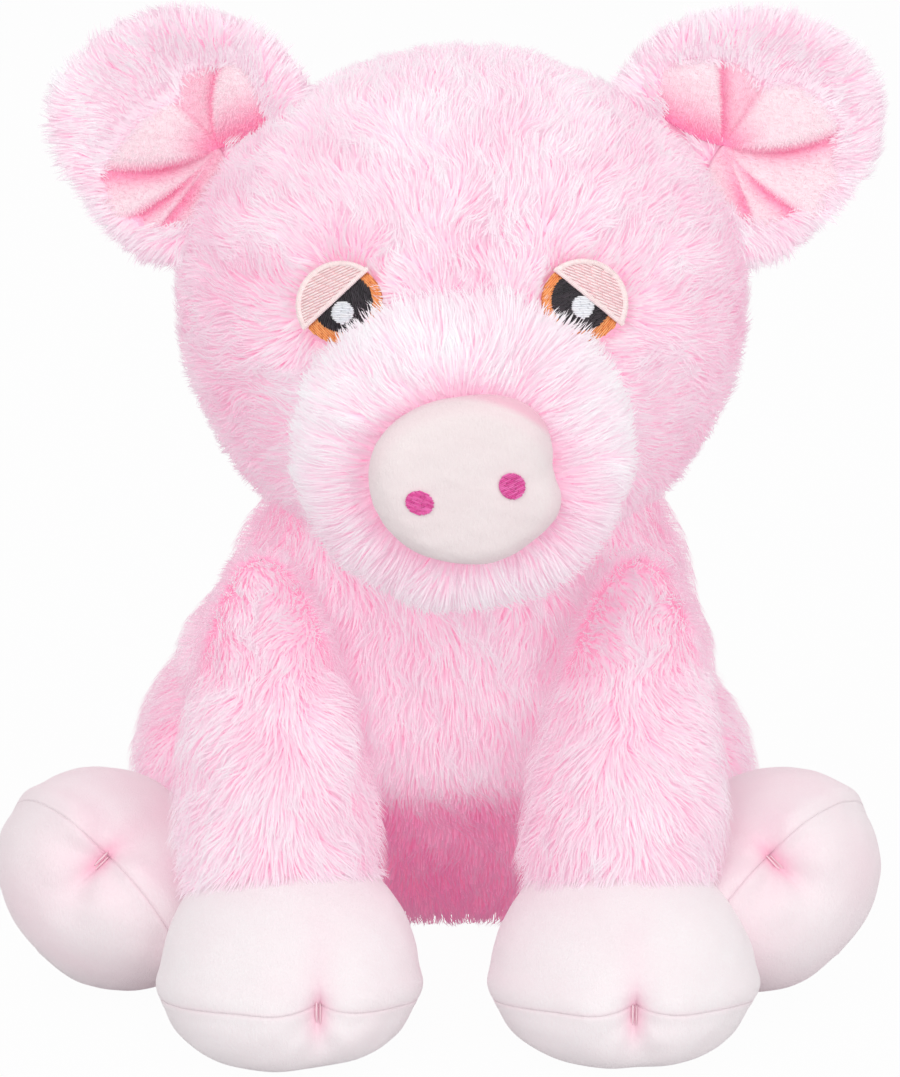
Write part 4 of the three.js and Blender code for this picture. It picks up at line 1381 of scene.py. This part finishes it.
for side, drawing in eye_drawings.items():
    name = f"eye_{side}"
    slope = EYES[side][1]
    aside, spark = np.array([PUPIL_ASIDE[side], 0.0]), np.array(SPARKS[side])
    stitched(f"{name}_lid", drawing, "lid", band_grid(LID_EDGE, EYE_RADIUS - 0.1),
             lambda p: (reach_of(p) < EYE_RADIUS - 0.9) & (p[:, 1] > LID_EDGE + 0.4),
             row_angle=-0.45 * slope, row_gap=0.64, length=2.6, width=0.58, lift=0.75)
    stitched(f"{name}_iris", drawing, "iris", band_grid(EYE_LOW, LID_EDGE + 0.3, IRIS_RADIUS),
             lambda p: (below_lid(p) & (reach_of(p) < IRIS_RADIUS)
                        & (reach_of(p - aside) > PUPIL_RADIUS - 0.5)),
             row_angle=90, row_gap=0.44, length=3.4, width=0.5, lift=0.0)
    stitched(f"{name}_pupil", drawing, "pupil",
             band_grid(EYE_LOW, LID_EDGE + 0.1, PUPIL_RADIUS - 0.2) + aside,
             lambda p: below_lid(p) & (reach_of(p - aside) < PUPIL_RADIUS),
             row_angle=62, row_gap=0.44, length=3.2, width=0.5, lift=0.3)
    stitched(f"{name}_highlight", drawing, "highlight",
             disc_grid(SPARK_RADIUS - 0.2, SPARK_RADIUS - 0.2) + spark,
             lambda p: reach_of(p - spark) < SPARK_RADIUS,
             row_angle=-slope, row_gap=0.42, length=5.0, width=0.5, lift=0.65)
    spread = math.asin(LID_EDGE / EYE_RADIUS)
    turns = np.arange(spread, math.pi - spread, EDGE_GAP / EYE_RADIUS)
    rays = np.stack([np.cos(turns), np.sin(turns)], 1)
    along = np.arange(-EYE_RADIUS + 0.3, EYE_RADIUS - 0.3, EDGE_GAP)[:, None]
    inner = np.vstack([rays * (EYE_RADIUS - 1.35), np.insert(along, 1, LID_EDGE - 0.5, 1)])
    outer = np.vstack([rays * (EYE_RADIUS + 0.1), np.insert(along + 0.3, 1, LID_EDGE + 0.8, 1)])
    starts, first = drawing.laid(inner, 0.95)
    ends, second = drawing.laid(outer, 0.95)
    made = stitches(f"{name}_lid_edge", edge_thread, starts, ends, unit(first + second), 0.56,
                    0.55, dice.random(len(starts)))
    ridden(made, "head")

# Ears

# Each fold of the lining runs out from the root. A row gives the fold's first edge near
# the root and at the rim, in degrees from upright towards the ear's outer side, then the
# height of the cloth, in millimetres, just after that edge and just before the next.
LINING_FOLDS = {
    "right": [(-78, -64, 0.6, 4.6), (13, -6, 0.4, 0.8), (30, 39, 3.6, 5.0),
              (118, 100, 0.4, 2.9), (140, 129, 0.4, 1.7), (146, 146, 0.3, 1.6), (205, 200, 0, 0)],
    "left": [(-78, -66, 0.6, 4.6), (-11, -6, 0.6, 1.2), (32, 29, 3.4, 5.2),
             (102, 82, 0.4, 3.2), (140, 134, 0.3, 1.6), (152, 163, 0.3, 1.6), (212, 206, 0, 0)],
}
LINING_RIMS = {
    "right": [(-80, 15.5), (-53, 15), (-34, 18.5), (-20, 22.5), (0, 21), (10, 20.5), (25, 20),
              (33, 15.5), (38, 15), (52, 16.5), (69, 19), (83, 21.5), (95, 26), (102, 29),
              (110, 31), (118, 31), (129, 30.5), (138, 29), (148, 26), (160, 21), (180, 16),
              (205, 12)],
    "left": [(-80, 17), (-61, 18.5), (-54, 23), (-43, 26), (-34, 25), (-16, 22.5), (0, 21.5),
             (12, 20.5), (25, 17.5), (31, 17.5), (37, 20.5), (48, 23), (60, 25), (70, 26.5),
             (78, 28), (90, 27.5), (99, 28.5), (109, 30), (118, 28), (128, 28.5), (135, 26),
             (147, 25), (161, 22), (175, 17), (190, 14), (212, 12)],
}
# The lining is drawn on an upright plane and laid on one that stands off the ear's middle
LINING_ROOTS = {"right": (-57.3, 217.0), "left": (67.6, 217.7)}
EAR_PLANE, LINING_SEAT = -18.0, 16.5
LINING_SOFTENING = 4
# How far the painted shade, in deep pink, reaches out of a fold; more in the first, which is the
# deepest
FIRST_PINK_REACH, PINK_REACH = 5.5, 3.2
RIM_REACH = 32


def ear_facing(sign):
    return ear_turn(sign) @ np.array([0.0, 0.0, 1.0])


def lining_surface(side, sign):
    """Front and back grids of the pleated lining, and the painted shade in its folds at each
    point.
    """
    folds, rim = np.array(LINING_FOLDS[side]), np.array(LINING_RIMS[side], float)
    outs = np.concatenate([[0.25, 0.6], np.linspace(1.2, RIM_REACH, 44)]) / RIM_REACH
    counts = [max(8, int(wide / 1.4)) for wide in np.diff(folds[:, 1])]
    index = np.repeat(np.arange(len(counts)), counts)
    step = np.concatenate([np.linspace(0, 1, count) for count in counts])[:, None]
    inner, outer = (folds[index, k][:, None] * (1 - step) + folds[index + 1, k][:, None] * step
                    for k in (0, 1))
    degrees = inner * (1 - outs) + outer * outs
    limit = np.interp(outer[:, 0], rim[:, 0], rim[:, 1])[:, None]
    away = outs * limit
    low, high = folds[index, 2][:, None], folds[index, 3][:, None]
    rounded = ease(0, 0.9, step)
    height = low + (high - low) * rounded + 0.9 * np.sin(math.pi * step) * (high > 2)
    height = height * (1 - 0.4 * ease(0.88, 1, step) * (high > low))
    height = height * (1 - 0.5 * ease(0.14, 0, step) * (low > 2))
    width = away * np.radians(np.abs(folds[index + 1, 1] - folds[index, 1]))[:, None]
    from_low = np.where(high > low, step, 1 - step) * width
    shallow = np.minimum(low, high)
    # Painted shade in deep pink: in the folds, near the root, on low folds and on the folds'
    # walls.
    pink_reach = np.where(index == 0, FIRST_PINK_REACH, PINK_REACH)[:, None]
    pink = np.exp(-((from_low / pink_reach) ** 1.4)) * (shallow < 1.0)
    pink = np.maximum(pink, bell((away, 6.0)) * 0.9)
    pink = np.maximum(pink, ((high < 1.5) & (low < 1.0)) * 0.32)
    wall = np.maximum(ease(0.95, 1, step) * (high > 2), ease(0.05, 0, step) * (low > 2))
    pink = np.maximum(pink, wall * (0.98 - 0.35 * ease(0.3, 0.9, outs)))
    late = np.where(index >= 3, 12.0, 0.0)[:, None]
    growth = ease(late * 0.3, 11 + late, away) * (1 - 0.25 * ease(0.75, 1, outs))
    pink = pink * (1 - 0.5 * (late > 0) * ease(16, 6, away))
    angle = np.radians(degrees)
    x = LINING_ROOTS[side][0] + sign * away * np.sin(angle)
    z = LINING_ROOTS[side][1] + away * np.cos(angle)
    flat = np.stack([x, np.full_like(x, EAR_PLANE), z], -1)
    facing = ear_facing(sign)
    seat = ear_middle(sign) + FRAME_SHIFT + facing * LINING_SEAT
    reach = ((seat - flat) @ facing) / (DRAWN_WAY @ facing)
    on_seat = flat + reach[..., None] * DRAWN_WAY
    dish = 2.4 * ease(0.35, 1, outs) + 0.14 * late * ease(0.5, 1, outs)
    wrinkle = 0.3 * swirl(on_seat.reshape(-1, 3), 13, 8 + sign).reshape(away.shape)
    raised = height * growth + dish + wrinkle
    for _ in range(LINING_SOFTENING):
        raised[1:-1] = raised[1:-1] * 0.5 + (raised[:-2] + raised[2:]) * 0.25
        pink[1:-1] = pink[1:-1] * 0.5 + (pink[:-2] + pink[2:]) * 0.25
    front = on_seat + facing * raised[..., None]
    back = on_seat + facing * (dish - 2.2)[..., None]
    return front, back, pink


# The share of the rim's pile that falls inward, and the lengths of inward and outward pile
FRINGE_INWARD, FRINGE_LENGTHS = 0.32, (3.4, 5.5)
FRINGE_SPACING = 0.22
FUZZ_COUNT = 11000


def lining_nap_ends(side, front, pink, facing):
    """The ends of the short fibres that stand on the lining."""
    rows, columns = front.shape[:2]
    a, b = front[:-1, :-1], front[1:, 1:]
    areas = np.linalg.norm(np.cross(front[1:, :-1] - a, front[:-1, 1:] - a), axis=-1).ravel()
    chosen = dice.choice(len(areas), FUZZ_COUNT, p=areas / areas.sum())
    row, column = np.divmod(chosen, columns - 1)
    u, v = dice.random((2, FUZZ_COUNT))
    corners = [(0, 0, (1 - u) * (1 - v)), (1, 0, u * (1 - v)), (0, 1, (1 - u) * v), (1, 1, u * v)]
    roots = sum(front[row + r, column + c] * w[:, None] for r, c, w in corners)
    depth = sum(pink[row + r, column + c] * w for r, c, w in corners)
    along = front[row + 1, column] - front[row, column]
    normals = unit(np.cross(along, front[row, column + 1] - front[row, column]))
    normals = normals * np.sign(dot(normals, np.tile(facing, (FUZZ_COUNT, 1))) + 1e-9)
    lean = dice.normal(0, 0.5, (FUZZ_COUNT, 3)) + np.array([0.0, -0.3, -0.5])
    tips = roots + unit(normals + lean * 0.8) * dice.uniform(0.6, 1.1, FUZZ_COUNT)[:, None]
    # The fibres carry the lining's painted shade: deeper in colour where the lining is pinker.
    made = tufts(f"ear_{side}_lining_nap", lining_fuzz, roots - normals * 0.2, [tips], normals,
                 dice.uniform(0.28, 0.45, FUZZ_COUNT), 1 - depth * 0.9)
    ridden(made, f"ear_{side}")


def ear_fringe(side, sign, front, facing):
    """The long pile that is sewn into the lining's rim and falls both ways over it."""
    edge = front[:, -2]
    steps = np.linalg.norm(np.diff(edge, axis=0), axis=1)
    places = np.concatenate([[0], np.cumsum(steps)])
    count = int(places[-1] / FRINGE_SPACING) * 3
    where = dice.uniform(0, places[-1], count)
    roots = np.stack([np.interp(where, places, edge[:, axis]) for axis in range(3)], 1)
    away = flattened(roots - front[:, 0].mean(0), np.tile(facing, (count, 1)))
    roots = roots - facing * 1.2 + away * dice.uniform(-0.6, 1.2, count)[:, None]
    inward = dice.random(count) < FRINGE_INWARD
    aside = np.cross(away, facing) * (0.5 * swirl(roots, 12, 70 + sign)[:, None]
                                      + dice.normal(0, 0.25, (count, 1)))
    first = away * np.where(inward, 0.15, 0.6)[:, None] + aside * 0.6 + facing * 1.0
    then = away * np.where(inward, -0.75, 1.2)[:, None] + aside + facing * 0.1
    long = np.where(inward, *FRINGE_LENGTHS) * dice.uniform(0.7, 1.2, count)
    long = long[:, None]
    bend = roots + unit(first) * long * 0.42
    tip = bend + unit(then) * long * 0.58
    shades = 0.76 + 0.06 * swirl(roots, 9, 71) + dice.normal(0, 0.04, count)
    made = tufts(f"ear_{side}_fringe", long_pile, roots, [bend, tip],
                 np.tile(facing, (count, 1)), 0.42 * dice.uniform(0.7, 1.6, count), shades)
    ridden(made, f"ear_{side}")


for side, sign in SIDES.items():
    skin = ear_skins[side]
    middle = ear_middle(sign, back=-12.0) + FRAME_SHIFT
    facing = ear_facing(sign)
    backed(f"ear_{side}_backing", skin, f"ear_{side}", [f"ear_{side}_cover"])
    front, back, pink = lining_surface(side, sign)
    made = thick_sheet(f"ear_{side}_lining_cloth", front, back, lining_nap)
    creased(made, np.tile(pink.ravel(), 2))
    ridden(made, f"ear_{side}", [f"ear_{side}_lining"])
    drawing = Drawing(skin, LINING_ROOTS[side], 0, EAR_PLANE)
    rim = np.array(LINING_RIMS[side], float)

    def ear_flow(points, normals, middle=middle):
        return points - middle

    def off_lining(points, normals, drawing=drawing, rim=rim, facing=facing, sign=sign):
        places = drawing.places(points)
        degrees = np.degrees(np.arctan2(sign * places[:, 0], places[:, 1]))
        degrees = np.where(degrees < -85, degrees + 360, degrees)
        limit = np.interp(degrees, rim[:, 0], rim[:, 1], right=0)
        inside = np.hypot(places[:, 0], places[:, 1]) < limit - 2.5
        return ~((normals @ facing > 0.1) & inside)

    ear_fringe(side, sign, front, facing)
    lining_nap_ends(side, front, pink, facing)
    coat(f"ear_{side}", f"ear_{side}", skin, SPACING * 0.84, ear_flow, length=7.8,
         hidden=[head_skin], keep=off_lining, shade=0.77, wander=16, rise=(52, 6),
         seed=60 + sign)

# Tail

TAIL_START = np.array([0.0, 86.0, 46.0]) + FRAME_SHIFT
TAIL_CURL, TAIL_LENGTH, TAIL_TURNS, TAIL_RADIUS = 6.4, 20.0, 1.25, 4.4


def tail_form():
    """A tube along the curl, rounded at its tip and gathered on the curl's inner side."""
    rings, facets = 90, 40
    share = np.linspace(0, 1, rings)
    angle = 2 * math.pi * TAIL_TURNS * share
    path = np.stack([TAIL_CURL * np.sin(angle), TAIL_LENGTH * share,
                     TAIL_CURL * (1 - np.cos(angle))], 1) + TAIL_START
    ways = unit(np.gradient(path, axis=0))
    core = TAIL_START + np.array([0, 0, TAIL_CURL]) + np.outer(share, (0, TAIL_LENGTH, 0))
    inward = unit(core - path)
    aside = unit(np.cross(ways, inward))
    inward = np.cross(aside, ways)
    taper = np.sqrt(np.clip(1 - ease(0.86, 1.0, share) ** 2, 0.003, 1)) * (1 - 0.18 * share)
    turns = np.arange(facets) * 2 * math.pi / facets
    points = [path[:1] - ways[:1] * 0.4]
    for k in range(rings):
        gathers = 0.35 * np.sin(share[k] * 60) * np.clip(np.cos(turns), 0, 1)
        radius = TAIL_RADIUS * taper[k] * (1 - gathers * 0.25)
        points.append(path[k] + radius[:, None] * (
            np.cos(turns)[:, None] * inward[k] + np.sin(turns)[:, None] * aside[k]))
    points.append(path[-1:] + ways[-1:] * 0.5)
    points = np.vstack(points)
    return Form(points, facing_out(points, np.array(grid_triangles(rings, facets))))


tail = tail_form()
made = mesh_of("tail_cloth", tail.points, tail.triangles, nap)
creased(made, np.full(len(tail.points), 0.3))
ridden(made, "tail", ["tail"])

# Floor, light and camera

SEEN_RAYS = ("Is Camera Ray", "Is Glossy Ray", "Is Transmission Ray")
WHITE = (1.0, 1.0, 1.0, 1.0)
FLOOR_REACH = 6.0

floor_finish = Finish("floor")
rays = floor_finish.node("ShaderNodeLightPath")
camera_ray, glossy_ray, clear_ray = (beside(rays, name) for name in SEEN_RAYS)
floor_finish.made(base=(0.62, 0.61, 0.62), roughness=1.0, specular=0.0)
glow = floor_finish.node("ShaderNodeEmission", None, {"Color": WHITE, "Strength": 1.0})
seen = camera_ray + glossy_ray + clear_ray
cover = floor_finish.node("ShaderNodeMixShader", None, {0: seen * 0.97})
floor_finish.links.new(floor_finish.shader.outputs[0], cover.socket.node.inputs[1])
floor_finish.links.new(glow.socket, cover.socket.node.inputs[2])
floor_finish.links.new(cover.socket, floor_finish.output.inputs[0])

floor = bpy.data.meshes.new("floor")
corners = [(-1, -1, 0), (1, -1, 0), (1, 1, 0), (-1, 1, 0)]
floor.from_pydata([Vector(corner) * FLOOR_REACH for corner in corners], [], [(0, 1, 2, 3)])
floor.materials.append(floor_finish.material)
linked("floor", floor)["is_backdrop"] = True

# The white surroundings light the toy less than the camera sees them
world = bpy.data.worlds.new("studio")
bpy.context.scene.world = world
world.use_nodes = True
sky = Shading(world.node_tree)
background = sky.nodes["Background"]
background.inputs["Color"].default_value = WHITE
path = sky.node("ShaderNodeLightPath")
camera_ray, glossy_ray = (beside(path, name) for name in SEEN_RAYS[:2])
total = sky.node("ShaderNodeMath", {"operation": "MAXIMUM"}, {0: camera_ray, 1: glossy_ray})
sockets = {0: total, 1: 0.32, 2: 0.68}
strength = sky.node("ShaderNodeMath", {"operation": "MULTIPLY_ADD"}, sockets)
sky.feed(background.inputs["Strength"], strength)


def aimed(made, place, aim):
    made.location = place
    made.rotation_mode = "QUATERNION"
    made.rotation_quaternion = (Vector(aim) - Vector(place)).to_track_quat("-Z", "Y")


# Each lamp's place and aim in metres, its width and its power in watts
LAMPS = {
    "key": ((-0.5, -1.0, 0.9), (0, 0, 0.12), 1.0, 5.6),
    "fill": ((0.8, -0.9, 0.4), (0, 0, 0.12), 1.0, 4.0),
    "back": ((0.1, 1.1, 1.0), (0, 0, 0.15), 0.9, 2.0),
}
for name, (place, aim, size, power) in LAMPS.items():
    lamp = bpy.data.lights.new(name, "AREA")
    lamp.shape = "DISK"
    lamp.size = size
    lamp.energy = power
    aimed(linked(name, lamp), place, aim)

FRAME_WIDTH, FOCUS_PIXELS = 900, 3465
FILM_WIDTH = 36.0
lens = bpy.data.cameras.new("camera")
lens.sensor_fit = "HORIZONTAL"
lens.sensor_width = FILM_WIDTH
lens.lens = FILM_WIDTH * FOCUS_PIXELS / FRAME_WIDTH
lens.clip_start = 0.05
lens.clip_end = 30.0
camera = linked("camera", lens)
aimed(camera, (0, -0.8607, 0.3736), (0, 0, 0.1105))
bpy.context.scene.camera = camera
bpy.context.scene.view_settings.view_transform = "Standard"

low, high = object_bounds()
